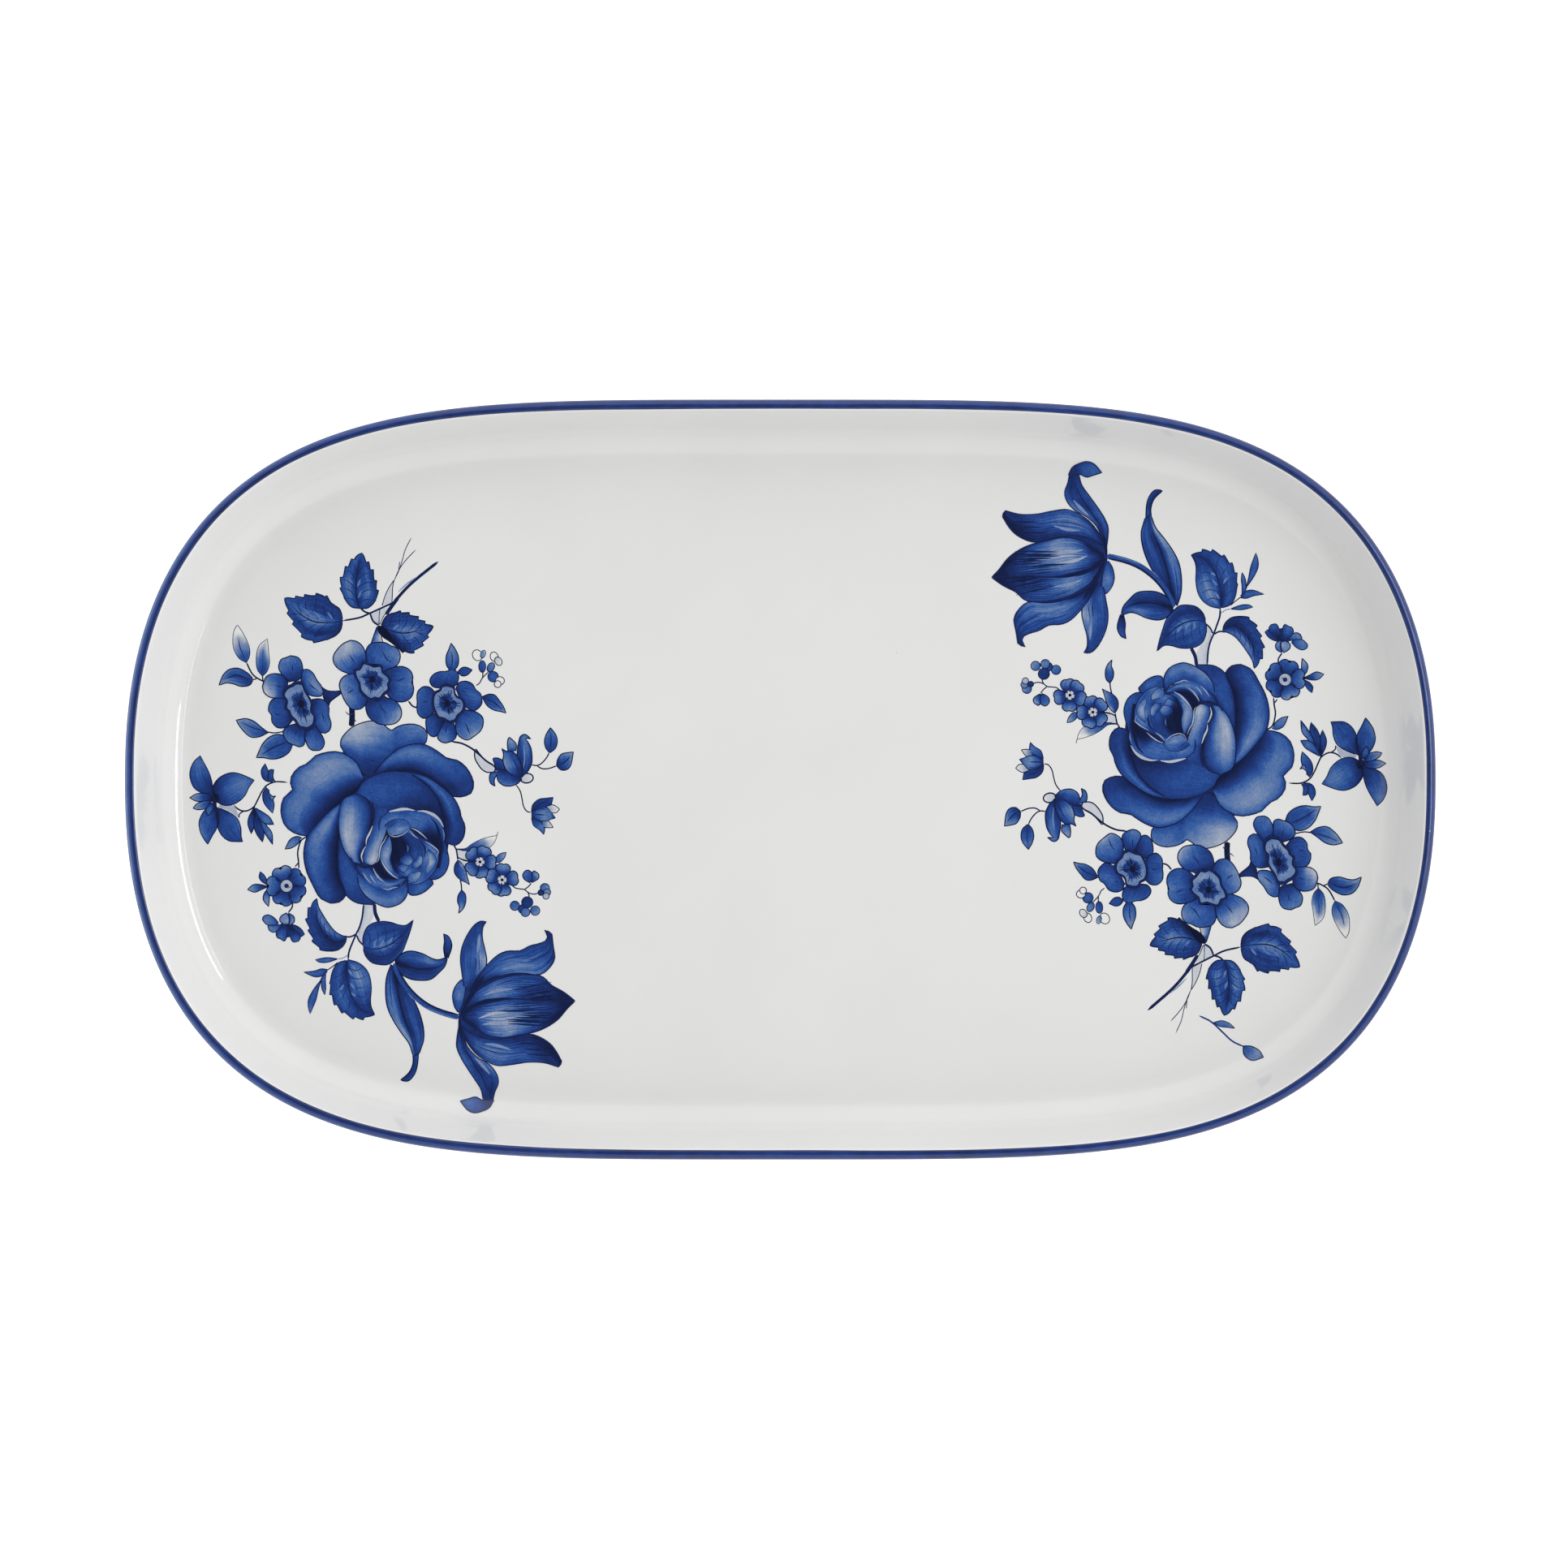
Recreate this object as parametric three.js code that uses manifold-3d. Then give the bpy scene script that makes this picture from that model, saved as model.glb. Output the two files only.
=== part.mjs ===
// China serving platter: a rounded oblong tray of glazed porcelain on a bare foot ring, with a
// blue band over its lip and two blue bouquets on its floor, the second turned half round.
// Millimetres, +Z up, +X along the platter. The origin is under its centre, where it stands.
import * as THREE from 'three';
import { mergeVertices } from 'three/addons/utils/BufferGeometryUtils.js';
import Module from 'manifold-3d';

const wasm = await Module();
wasm.setup();

// ---- the body ----
const LENGTH = 350;
const WIDTH = 203;
const HEIGHT = 24;
const END_POWER = 4.2;          // how square the outline is along the length
const SIDE_POWER = 2.3;         // and across it
const FOOT_HEIGHT = 2.4;
const FLOOR_THICKNESS = 4.6;
const LIP_RADIUS = 1.75;        // outer radius of the rounded lip, band included
const WALL_ANGLE = 70;          // degrees from level
const COVE_RADIUS = 7;          // where the wall runs into the floor
const UNDER_RADIUS = 10;        // where the outside runs into the underside
const STATIONS = 72;            // round the outline

// ---- the blue band over the lip ----
const BAND_THICKNESS = 0.35;
const BAND_START = -10;         // degrees round the lip, from its outermost line
const BAND_END = 119;
const BAND_CLEARANCE = 0.002;   // keeps the band's mesh just off the china's

// ---- the foot ring ----
const FOOT_SETBACK = 2.5;       // in from where the underside turns flat
const FOOT_WIDTH = 5.4;
const FOOT_FACE_WIDTH = 3;

// ---- the bouquets ----
const TRANSFER_THICKNESS = 0.15;
const TRANSFER_GAP = 0.35;      // between neighbouring motifs
const FLOOR_MARGIN = 0.4;       // from a motif to the start of the cove
const STEM_WIDTH = 0.9;
const STEM_STEPS = 2;           // for each point after the first
const LEAF_STEPS = 4;           // from base to tip
const BAND_STEPS = 3;           // round the lip
const BOUQUET_REACH = 75.2;     // drawn from the rose's middle up past the last cut stem
const BOUQUET_SIDE_MARGIN = 11.9; // from there to the start of the cove
const BOUQUET_END_MARGIN = 2.7; // from the trefoil's outermost leaf to the start of the cove
const TREFOIL_REACH = 50;       // drawn from the rose's middle to that leaf
const BOUQUET_DROP = 8.8;       // the left rose sits this far below the long axis
const BOUQUET_SHIFT = [3.8, -2.9]; // how much further out and lower the half-turned one is
const BOUQUET_TURN = 2.75;      // degrees that it is turned past half round

const FLOOR_Z = FOOT_HEIGHT + FLOOR_THICKNESS;
const LIP_Z = HEIGHT - LIP_RADIUS;
const CORE_RADIUS = LIP_RADIUS - BAND_THICKNESS;

const sine = (degrees) => Math.sin(THREE.MathUtils.degToRad(degrees));
const cosine = (degrees) => Math.cos(THREE.MathUtils.degToRad(degrees));

const porcelain = new THREE.MeshStandardMaterial({ color: 0xe2e2e0, roughness: 0.12, metalness: 0 });
const bisque = new THREE.MeshStandardMaterial({ color: 0xd9d4c9, roughness: 0.85, metalness: 0 });
const bandBlue = new THREE.MeshStandardMaterial({ color: 0x2d4176, roughness: 0.15, metalness: 0 });
const printBlue = new THREE.MeshStandardMaterial({ color: 0x35548f, roughness: 0.15, metalness: 0 });

const group = new THREE.Group();

function addPiece(name, geometry, material, parent = group) {
  const mesh = new THREE.Mesh(geometry, material);
  mesh.name = name;
  parent.add(mesh);
}

// ---- outline: |x/a|^END_POWER + |y/b|^SIDE_POWER = 1, in even steps round it ----

function outlineRadius(angle) {
  let inside = 0;
  let outside = Math.hypot(LENGTH, WIDTH);
  for (let step = 0; step < 50; step += 1) {
    const radius = (inside + outside) / 2;
    const along = Math.abs((2 * radius * Math.cos(angle)) / LENGTH) ** END_POWER;
    const across = Math.abs((2 * radius * Math.sin(angle)) / WIDTH) ** SIDE_POWER;
    if (along + across < 1) inside = radius;
    else outside = radius;
  }
  return (inside + outside) / 2;
}

function makeStations(count) {
  const fine = 2880;
  const points = [];
  const travelled = [0];
  for (let step = 0; step <= fine; step += 1) {
    const angle = (2 * Math.PI * step) / fine;
    const radius = outlineRadius(angle);
    points.push(new THREE.Vector2(radius * Math.cos(angle), radius * Math.sin(angle)));
    if (step > 0) travelled.push(travelled[step - 1] + points[step].distanceTo(points[step - 1]));
  }
  const stations = [];
  let at = 0;
  for (let station = 0; station < count; station += 1) {
    const goal = (travelled[fine] * station) / count;
    while (travelled[at + 1] < goal) at += 1;
    const part = (goal - travelled[at]) / (travelled[at + 1] - travelled[at]);
    const tangent = points[at + 1].clone().sub(points[at]).normalize();
    stations.push({
      point: points[at].clone().lerp(points[at + 1], part),
      outward: new THREE.Vector2(tangent.y, -tangent.x),
    });
  }
  return stations;
}

const stations = makeStations(STATIONS);

function insetPoint(station, inset) {
  return station.point.clone().addScaledVector(station.outward, -inset);
}

// ---- pieces that follow the outline: a lathe whose rings are laid along it ----
// A profile is a list of [inset from the outline, z]; an inset of null is on the middle axis.

function layRoundOutline(profile) {
  const lathe = new THREE.LatheGeometry(
    profile.map(([inset, z]) => new THREE.Vector2(inset === null ? 0 : LENGTH - inset, z)),
    STATIONS,
  );
  const position = lathe.getAttribute('position');
  for (let ring = 0; ring <= STATIONS; ring += 1) {
    const station = stations[ring % STATIONS];
    profile.forEach(([inset, z], index) => {
      const place = inset === null ? new THREE.Vector2(0, 0) : insetPoint(station, inset);
      position.setXYZ(ring * profile.length + index, place.x, place.y, z);
    });
  }
  lathe.computeVertexNormals();
  return lathe;
}

// Points on an arc round [inset, z], by angle from the outermost line over the top.
function arc([inset, z], radius, from, to, steps) {
  const points = [];
  for (let step = 0; step <= steps; step += 1) {
    const angle = from + ((to - from) * step) / steps;
    points.push([inset - radius * cosine(angle), z + radius * sine(angle)]);
  }
  return points;
}

const lipCentre = [LIP_RADIUS, LIP_Z];
const bandSeat = arc(lipCentre, CORE_RADIUS, BAND_START, BAND_END, BAND_STEPS);
const lipInside = arc(lipCentre, CORE_RADIUS, BAND_END, 90 + WALL_ANGLE, 1);
const lipOutside = arc(lipCentre, CORE_RADIUS, WALL_ANGLE - 90, BAND_START, 1);

// The straight wall runs from the lip down to where the cove takes over.
const coveTop = FLOOR_Z + COVE_RADIUS * (1 - cosine(WALL_ANGLE));
const lipEnd = lipInside[lipInside.length - 1];
const coveStart = lipEnd[0] + (lipEnd[1] - coveTop) / Math.tan(THREE.MathUtils.degToRad(WALL_ANGLE));
const FLOOR_INSET = coveStart + COVE_RADIUS * sine(WALL_ANGLE);
const cove = arc([FLOOR_INSET, FLOOR_Z + COVE_RADIUS], COVE_RADIUS, WALL_ANGLE - 90, -90, 4);

const underTop = FOOT_HEIGHT + UNDER_RADIUS * (1 - cosine(WALL_ANGLE));
const outsideEnd = lipOutside[0];
const underStart = outsideEnd[0] + (outsideEnd[1] - underTop)
  / Math.tan(THREE.MathUtils.degToRad(WALL_ANGLE));
const UNDER_INSET = underStart + UNDER_RADIUS * sine(WALL_ANGLE);
const under = arc([UNDER_INSET, FOOT_HEIGHT + UNDER_RADIUS], UNDER_RADIUS, -90, WALL_ANGLE - 90, 3);

function makeBody() {
  const profile = [
    [null, FOOT_HEIGHT],
    ...under,
    ...lipOutside,
    ...bandSeat.slice(1),
    ...lipInside.slice(1),
    ...cove,
    [null, FLOOR_Z],
  ];
  return layRoundOutline(profile);
}

function makeBand() {
  const outer = arc(lipCentre, LIP_RADIUS, BAND_START, BAND_END, BAND_STEPS);
  const inner = arc(lipCentre, CORE_RADIUS + BAND_CLEARANCE, BAND_START, BAND_END, BAND_STEPS);
  return layRoundOutline([...outer, ...inner.reverse(), outer[0]]);
}

function makeFootRing() {
  const outer = UNDER_INSET + FOOT_SETBACK;
  const taper = (FOOT_WIDTH - FOOT_FACE_WIDTH) / 2;
  return layRoundOutline([
    [outer + FOOT_WIDTH, FOOT_HEIGHT],
    [outer + FOOT_WIDTH - taper, 0],
    [outer + taper, 0],
    [outer, FOOT_HEIGHT],
    [outer + FOOT_WIDTH, FOOT_HEIGHT],
  ]);
}

addPiece('platter_body', makeBody(), porcelain);
addPiece('rim_band', makeBand(), bandBlue);
addPiece('foot_ring', makeFootRing(), bisque);

// ---- flat shapes for the motifs, each a closed list of Vector2 ----

const vector = ([x, y]) => new THREE.Vector2(x, y);

// Smooth outline through hand-set points.
function outline(points, perPoint = 1.2) {
  const curve = new THREE.CatmullRomCurve3(
    points.map(([x, y]) => new THREE.Vector3(x, y, 0)),
    true,
    'centripetal',
  );
  const count = Math.round(points.length * perPoint);
  return curve.getPoints(count).slice(0, count).map((point) => new THREE.Vector2(point.x, point.y));
}

// A stem: a ribbon of even width along a smooth line.
function stem(points, width = STEM_WIDTH) {
  const line = new THREE.CatmullRomCurve3(
    points.map(([x, y]) => new THREE.Vector3(x, y, 0)),
    false,
    'centripetal',
  );
  const steps = points.length > 2 ? (points.length - 1) * STEM_STEPS : 1;
  const left = [];
  const right = [];
  for (let step = 0; step <= steps; step += 1) {
    const at = line.getPoint(step / steps);
    const along = line.getTangent(step / steps);
    left.push(new THREE.Vector2(at.x - (along.y * width) / 2, at.y + (along.x * width) / 2));
    right.unshift(new THREE.Vector2(at.x + (along.y * width) / 2, at.y - (along.x * width) / 2));
  }
  return [...right, ...left];
}

// A leaf: a bent spine from base to tip, full in the middle and pointed at the tip.
function leaf(base, bend, tip, width) {
  const spine = new THREE.QuadraticBezierCurve(vector(base), vector(bend), vector(tip));
  const left = [];
  const right = [];
  for (let step = 0; step < LEAF_STEPS; step += 1) {
    const share = step / LEAF_STEPS;
    const at = spine.getPoint(share);
    const along = spine.getTangent(share);
    const half = (width / 2) * Math.max(0.12, Math.sin(Math.PI * share ** 0.8) ** 0.75);
    left.push(new THREE.Vector2(at.x - along.y * half, at.y + along.x * half));
    right.unshift(new THREE.Vector2(at.x + along.y * half, at.y - along.x * half));
  }
  return [vector(tip), ...left.reverse(), ...right.reverse()].reverse();
}

// A blossom petal: two soft lobes with a notch between, from the middle out to its reach.
function petal([x, y], degrees, reach, width) {
  const half = width / 2;
  const shape = [
    [0.1, -0.3], [0.55, -0.95], [0.92, -0.75], [0.95, 0], [0.92, 0.75], [0.55, 0.95], [0.1, 0.3],
  ];
  return outline(shape.map(([along, across]) => [
    x + along * reach * cosine(degrees) - across * half * sine(degrees),
    y + along * reach * sine(degrees) + across * half * cosine(degrees),
  ]));
}

function disc([x, y], radius, sides = 10) {
  return Array.from({ length: sides }, (unused, side) => new THREE.Vector2(
    x + radius * cosine((360 * side) / sides),
    y + radius * sine((360 * side) / sides),
  ));
}

function blossom(middle, petals) {
  return [
    disc(middle, 4.5),
    ...petals.map(([degrees, reach, width]) => petal(middle, degrees, reach, width)),
  ];
}

// ---- the motifs of one bouquet, drawn round its rose, lowest first ----

const motifs = {
  lower_leaves: () => [
    leaf([-8, -34.2], [-18.4, -37.4], [-16.4, -23.1], 7.6),
    leaf([-8.2, -39.4], [-8.4, -51], [-0.8, -54], 12),
    leaf([-4, -35.6], [4.6, -37.4], [9.6, -28.8], 7),
    stem([[-3.6, -24], [-4, -28.5], [-5.6, -32.6], [-7.6, -36.5], [-8.2, -40]]),
    stem([[-8.4, -34.2], [-5.6, -32.6], [-3.4, -35.6]]),
    stem([[-0.9, -24], [-0.2, -29.5], [0, -33]]),
  ],
  small_leaf_sprig: () => [
    leaf([-10.6, -39.1], [-13.5, -39.8], [-16.6, -39.3], 1.6),
    leaf([-13.2, -41.9], [-16.5, -43.8], [-19.6, -42.5], 2),
    leaf([-14.9, -44], [-15.2, -46.5], [-14, -48.8], 1.6),
    leaf([-15, -44], [-18.8, -48], [-18.1, -53.6], 2.6),
    stem([[-10, -38.9], [-12.6, -41.2], [-15, -44.2]]),
  ],
  tulip: () => [
    outline([
      [21.3, -53.6], [20.2, -50], [21, -46.5], [22.6, -44.2], [22.2, -38], [24, -33], [26.6, -29.5],
      [28.9, -29.3], [28, -33], [28.9, -38], [29.6, -40.4], [33, -37.4], [38, -36.8], [42, -35],
      [45, -33.6], [44.6, -31.6], [46.4, -32.6], [47.2, -38], [45.8, -41.6], [43.6, -43.6],
      [46.5, -46.2], [50.5, -48.6], [52.5, -50.4], [49.5, -52.8], [46, -56.2], [41.2, -59.2],
      [45.4, -60.8], [47.8, -64], [49, -67.2], [46, -67.4], [40, -66.6], [34.6, -67.6], [30.4, -67.4],
      [32, -71], [31.4, -75.4], [30, -78.6], [27, -80], [24.2, -79.4], [22.2, -77], [25, -76],
      [28.2, -76.6], [26.2, -72.4], [22.6, -67], [21, -62], [21.6, -57.4],
    ]),
    stem([[4.6, -40.6], [8, -46.6], [13, -51], [21.9, -54.6]], 1.6),
  ],
  curling_leaves: () => [
    outline([
      [3.4, -40.6], [5, -41.4], [7.2, -46], [10.6, -51.6], [12.2, -57], [11.8, -62], [10.8, -65.4],
      [10.3, -69], [8, -71.6], [6, -71.6], [8, -70], [9.4, -67.4], [9.2, -64.4], [6.4, -59.6],
      [3.6, -55], [2.2, -49], [2.8, -44],
    ]),
    outline([
      [3.2, -39.6], [6.6, -37.4], [10, -37.2], [13.8, -38.8], [16.6, -39.2], [17.9, -37.8], [17.5, -34],
      [17.9, -32.6], [19.4, -34], [19.2, -37.4], [17.6, -41], [14.6, -44.2], [11, -44.8], [7, -43.4],
    ]),
  ],
  top_leaves: () => [
    leaf([-9.3, 50.9], [-17.5, 49.2], [-24.8, 57.1], 13),
    leaf([-4.9, 54.2], [-5.7, 61], [-4.2, 69], 10.6),
    leaf([0.6, 49.6], [7, 46], [14.8, 49.5], 11),
    stem([[-9.6, 50.9], [-5, 51.8], [-2, 53], [3, 55.4], [9, 61], [16.3, 66.7]]),
    stem([[-4.9, 54.5], [-2, 53], [0.6, 49.6]]),
    stem([[0.4, 49.8], [1.8, 56], [5.2, 63.6], [10.4, 70]]),
    stem([[6, 65], [8.6, 73]], 0.7),
    stem([[-1.5, 44], [-1, 47], [0.8, 50]], 1.6),
  ],
  primrose_sprig: () => [
    leaf([-30.9, 36.2], [-31.6, 41.6], [-29.3, 46], 3.8),
    leaf([-35, 39.8], [-38.2, 44.4], [-37.4, 49.8], 4.8),
    leaf([-33.4, 35.2], [-38.4, 38.8], [-42.2, 33.6], 4.2),
    stem([[-29.8, 34.6], [-31.6, 35.2], [-33.6, 36.8], [-35.1, 40.4]]),
    stem([[-32.4, 36], [-34.4, 35.3]]),
    stem([[-30.6, 34.8], [-30.9, 37]]),
  ],
  trefoil_sprig: () => [
    leaf([-44, 4.4], [-52, 7.5], [-47.3, 15], 6.2),
    leaf([-44, 4], [-40, 10.2], [-33, 8.5], 8.6),
    leaf([-43.4, 2.4], [-49.4, -2], [-45.3, -8.5], 4.8),
    leaf([-43, 2.4], [-40.6, -6.6], [-36, -7.8], 6.6),
    leaf([-44, 3.8], [-47.5, 4.2], [-50, 3.7], 1.9),
    leaf([-43.6, 2.8], [-47, 2.4], [-49.2, 1], 1.8),
    disc([-43.4, 3.4], 1.5, 8),
    stem([[-42, 3.4], [-38.4, 1.6], [-35.6, 0.3], [-32.6, 1.8], [-30.6, 5.6], [-27.4, 8], [-24.4, 7.8]]),
    stem([[-35.4, 0.3], [-37.2, -1.5]], 0.7),
    leaf([-28.2, 8], [-31.8, 9.6], [-30, 12.9], 3.4),
    leaf([-30.2, 5.8], [-30.4, 2.6], [-28.2, -0.1], 3.2),
    leaf([-32.6, 1.6], [-35.4, -2.8], [-30.8, -8], 4.6),
    leaf([-32.4, 1], [-29, -3.4], [-28, -8.4], 3.4),
  ],
  auricula_sprig: () => [
    disc([-24.2, -19.2], 4.9, 14),
    leaf([-20, -7.2], [-22.6, -7], [-25, -9.8], 2.2),
    stem([[-18.6, -6.6], [-20.6, -8], [-21.3, -11.4], [-21.2, -16]]),
    leaf([-28.6, -19.6], [-31.8, -18.6], [-31.3, -16], 1.9),
    leaf([-28.4, -19.9], [-31.6, -20.4], [-34.6, -20.7], 2.1),
    leaf([-29.2, -19.8], [-30.8, -22.6], [-29.1, -25.2], 1.9),
    stem([[-29.6, -19.9], [-27, -19.6]], 1.3),
    stem([[-23, -23], [-22.8, -25.4], [-24, -27.6], [-24.4, -29.6]]),
    outline([
      [-30.9, -28.2], [-28.6, -27.3], [-26.4, -28.6], [-25.4, -26.9], [-22.8, -27.2], [-22.1, -29.8],
      [-20, -31], [-19.9, -33.2], [-22.4, -34.7], [-25, -34.3], [-27, -32.8], [-28.6, -31.6],
    ]),
  ],
  forget_me_nots: () => [
    disc([27.2, -13.3], 3.5, 10),
    disc([33, -18.1], 3.6, 10),
    leaf([20.8, -9.4], [26.4, -9.6], [32.1, -5.4], 4.4),
    leaf([21.4, -11], [20.2, -14.8], [24.4, -19.2], 3.4),
    leaf([22.4, -20.4], [24.8, -23.4], [21.8, -26.8], 3),
    leaf([30.6, -13.8], [31.6, -11.4], [34.3, -10.7], 2.4),
    stem([[20.4, -9], [21.4, -12.6], [24, -13.2]]),
    stem([[21.8, -16.6], [22.2, -18.8], [22.5, -21.6]]),
    stem([[29, -14.8], [31.4, -16.6]]),
    stem([[30.4, -14.2], [28.8, -14]]),
    stem([[35.6, -19.4], [38.2, -20.4], [40.8, -21.7], [43.4, -21.4]]),
    stem([[39, -20.4], [40.2, -18.6]]),
    stem([[40.2, -21.4], [40, -23.4]]),
    disc([40.7, -17.1], 1.9, 7),
    disc([44.4, -21.1], 1.8, 7),
    outline([
      [35.6, -24.6], [37, -23.8], [38.6, -24.4], [39.8, -22.8], [41.2, -24.6], [43.2, -26],
      [42.2, -27], [40.4, -26.8], [39.4, -27.8], [38, -26.8], [36.6, -25.9],
    ]),
  ],
  columbine_sprig: () => [
    outline([
      [30.2, 9.4], [30.6, 7], [31.6, 8.2], [34.8, 6.9], [38, 8], [39.4, 10.4], [41, 13.4], [40.9, 17.6],
      [39.6, 19.8], [40.9, 19.6], [39.2, 20.8], [37.2, 19.6], [36.7, 17.4], [35.2, 19.8], [34.6, 16.4],
      [33.2, 16.9], [33.4, 14], [30.8, 14.2], [31.6, 11.4],
    ]),
    stem([[18.6, 19.6], [21, 18.6], [25.4, 17.2], [28, 14.6], [31.4, 12.6]]),
    stem([[25.7, 17], [26.4, 13.2], [28.6, 10.6], [31.4, 10.4]]),
    stem([[40.2, 13], [42.6, 12.5], [44.6, 13.6], [45.8, 16.2]]),
    stem([[42.4, 12.6], [45, 11.6], [47.9, 12.4]]),
    leaf([45.8, 15.6], [46.6, 19], [46.2, 22.7], 4),
    leaf([47.6, 12.2], [50.2, 12.4], [52.4, 16.2], 4.8),
    disc([40.1, 9], 1.5, 7),
    stem([[36.8, 7.6], [38.2, 5], [38.8, 1.6], [40, 0.1], [41.4, 0]]),
    outline([
      [40.9, 0], [41.4, 2.2], [43.6, 3.6], [46.8, 3.9], [46.6, 2], [48.4, 0.9], [46.6, -0.2],
      [47.6, -1.6], [45.8, -2.2], [46.6, -4.1], [44.8, -3.8], [44.3, -6], [42.4, -4], [41.1, -2],
    ]),
  ],
  primrose_inner: () => [
    ...blossom([18.8, 28.6], [
      [97, 9.2, 7.6], [18, 9, 8.2], [-45, 11.4, 8.2], [-93, 10.3, 5.6], [-123, 9.6, 5.6],
      [174, 8.4, 8.4],
    ]),
    stem([[9.8, 28.4], [11.6, 27.4]]),
    leaf([19.6, 36.4], [20, 40.6], [19.6, 45], 3.8),
    leaf([20.6, 36.8], [22.8, 36.6], [25.2, 37.9], 2.2),
    leaf([27, 30.6], [31.6, 31.6], [34.2, 26.3], 4.4),
    stem([[26, 33.4], [27.8, 35.4], [29.6, 37.4]]),
    stem([[28, 35.6], [27.9, 38.4], [27.6, 40.4]], 1.6),
    disc([27, 41.8], 1.6, 7),
    stem([[29.4, 37.2], [31, 36.4], [32.3, 34.9]], 1.6),
    disc([32.4, 34.7], 1.3, 8),
    stem([[29.6, 37.2], [30.4, 39.4], [31.4, 41]], 1.6),
    disc([31.6, 40.9], 1.5, 7),
  ],
  primrose_outer: () => [
    ...blossom([-20.7, 28.9], [
      [103, 12.6, 6.6], [60, 9.6, 6.2], [145, 10.8, 6.8], [201, 9.4, 7.4], [259, 11.4, 6.8],
      [-70, 13, 5.4], [-32, 9.4, 8.4],
    ]),
    outline([[-14.5, 33.4], [-13.2, 32.5], [-9.6, 32.4], [-11.4, 30.6], [-13.6, 28], [-15, 30]]),
    stem([[-24.6, 21.6], [-27.4, 21], [-30, 21.4]]),
    leaf([-29.4, 21.4], [-33, 20.6], [-37.6, 24.4], 4.6),
    leaf([-23, 18.4], [-27, 14.8], [-32.2, 14.6], 5.4),
  ],
  primrose_middle: () => [
    ...blossom([-1.4, 34.9], [
      [130, 11.6, 8.6], [60, 10.8, 9], [-5, 10.8, 9.6], [-66, 12.4, 8], [211, 10, 9.4],
    ]),
    stem([[-6.8, 28.4], [-6.9, 25], [-7, 23.4]], 1.5),
  ],
  rose: () => [
    outline([
      [-10, 17.5], [-9.3, 20.6], [-7, 22.6], [-5.2, 22.6], [-2.8, 24.1], [0.4, 24.3], [4, 22.2],
      [8, 23.7], [12.7, 22.8], [12.6, 18], [17, 15.8], [18.6, 14.2], [21.4, 13.6], [24.4, 11],
      [25.6, 7], [24.4, 4.4], [20.8, 3.6], [22, 0], [23.3, -3.6], [22.6, -7.4], [21, -8.9],
      [18.2, -8.3], [18.8, -13], [17.6, -16.8], [15.2, -17.8], [14, -20], [9.6, -22.2], [8, -21.4],
      [6.4, -24], [2.8, -25.4], [-1, -24.5], [-4.4, -24.7], [-8.7, -22], [-11, -24.2], [-15, -23.2],
      [-17.4, -18.8], [-19.6, -13], [-19.2, -6.4], [-23.4, -5], [-25.8, 0], [-25, 4], [-22.8, 5.8],
      [-23.2, 8.8], [-20.4, 11.8], [-18.2, 13.4], [-14.4, 15.9],
    ]),
  ],
};

const strayBud = () => [
  leaf([-9.2, 77.4], [-10.8, 79.6], [-14, 80.6], 4),
  stem([[2.6, 68.8], [-1, 71], [-4.8, 75], [-9.8, 78]]),
  leaf([-1, 71], [-4.4, 71], [-6.8, 72.6], 2),
];

// ---- from flat shapes to thin solids ----

// Moves each point of a closed outline outwards by a distance.
function grown(points, distance) {
  const turn = THREE.ShapeUtils.area(points) > 0 ? 1 : -1;
  return points.map((point, index) => {
    const before = points[(index + points.length - 1) % points.length];
    const after = points[(index + 1) % points.length];
    const along = after.clone().sub(before).normalize();
    return new THREE.Vector2(
      point.x + along.y * distance * turn,
      point.y - along.x * distance * turn,
    );
  });
}

function toManifold(geometry) {
  const bare = geometry.clone();
  bare.deleteAttribute('normal');
  bare.deleteAttribute('uv');
  const merged = mergeVertices(bare);
  return new wasm.Manifold(new wasm.Mesh({
    numProp: 3,
    vertProperties: Float32Array.from(merged.getAttribute('position').array),
    triVerts: Uint32Array.from(merged.getIndex().array),
  }));
}

function prism(points, bottom, top) {
  const counterClockwise = THREE.ShapeUtils.area(points) > 0 ? points : points.slice().reverse();
  const geometry = new THREE.ExtrudeGeometry(new THREE.Shape(counterClockwise), {
    depth: top - bottom,
    bevelEnabled: false,
    steps: 1,
  });
  geometry.translate(0, 0, bottom);
  return toManifold(geometry);
}

function joined(shapes, bottom, top, grow = 0) {
  return shapes
    .map((points) => prism(grow > 0 ? grown(points, grow) : points, bottom, top))
    .reduce((whole, part) => whole.add(part));
}

function largestBody(solid) {
  return solid.decompose().reduce((most, part) => (part.volume() > most.volume() ? part : most));
}

function toGeometry(solid) {
  const mesh = solid.getMesh();
  const geometry = new THREE.BufferGeometry();
  geometry.setAttribute('position', new THREE.BufferAttribute(Float32Array.from(mesh.vertProperties), 3));
  geometry.setIndex(new THREE.BufferAttribute(Uint32Array.from(mesh.triVerts), 1));
  geometry.computeVertexNormals();
  return geometry;
}

// ---- one bouquet: each motif gives way to those drawn after it, and to the cove ----

const FLOOR_HALF_LENGTH = LENGTH / 2 - FLOOR_INSET;
const FLOOR_HALF_WIDTH = WIDTH / 2 - FLOOR_INSET;
const bouquetScale = (FLOOR_HALF_WIDTH - BOUQUET_SIDE_MARGIN) / BOUQUET_REACH;

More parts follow.
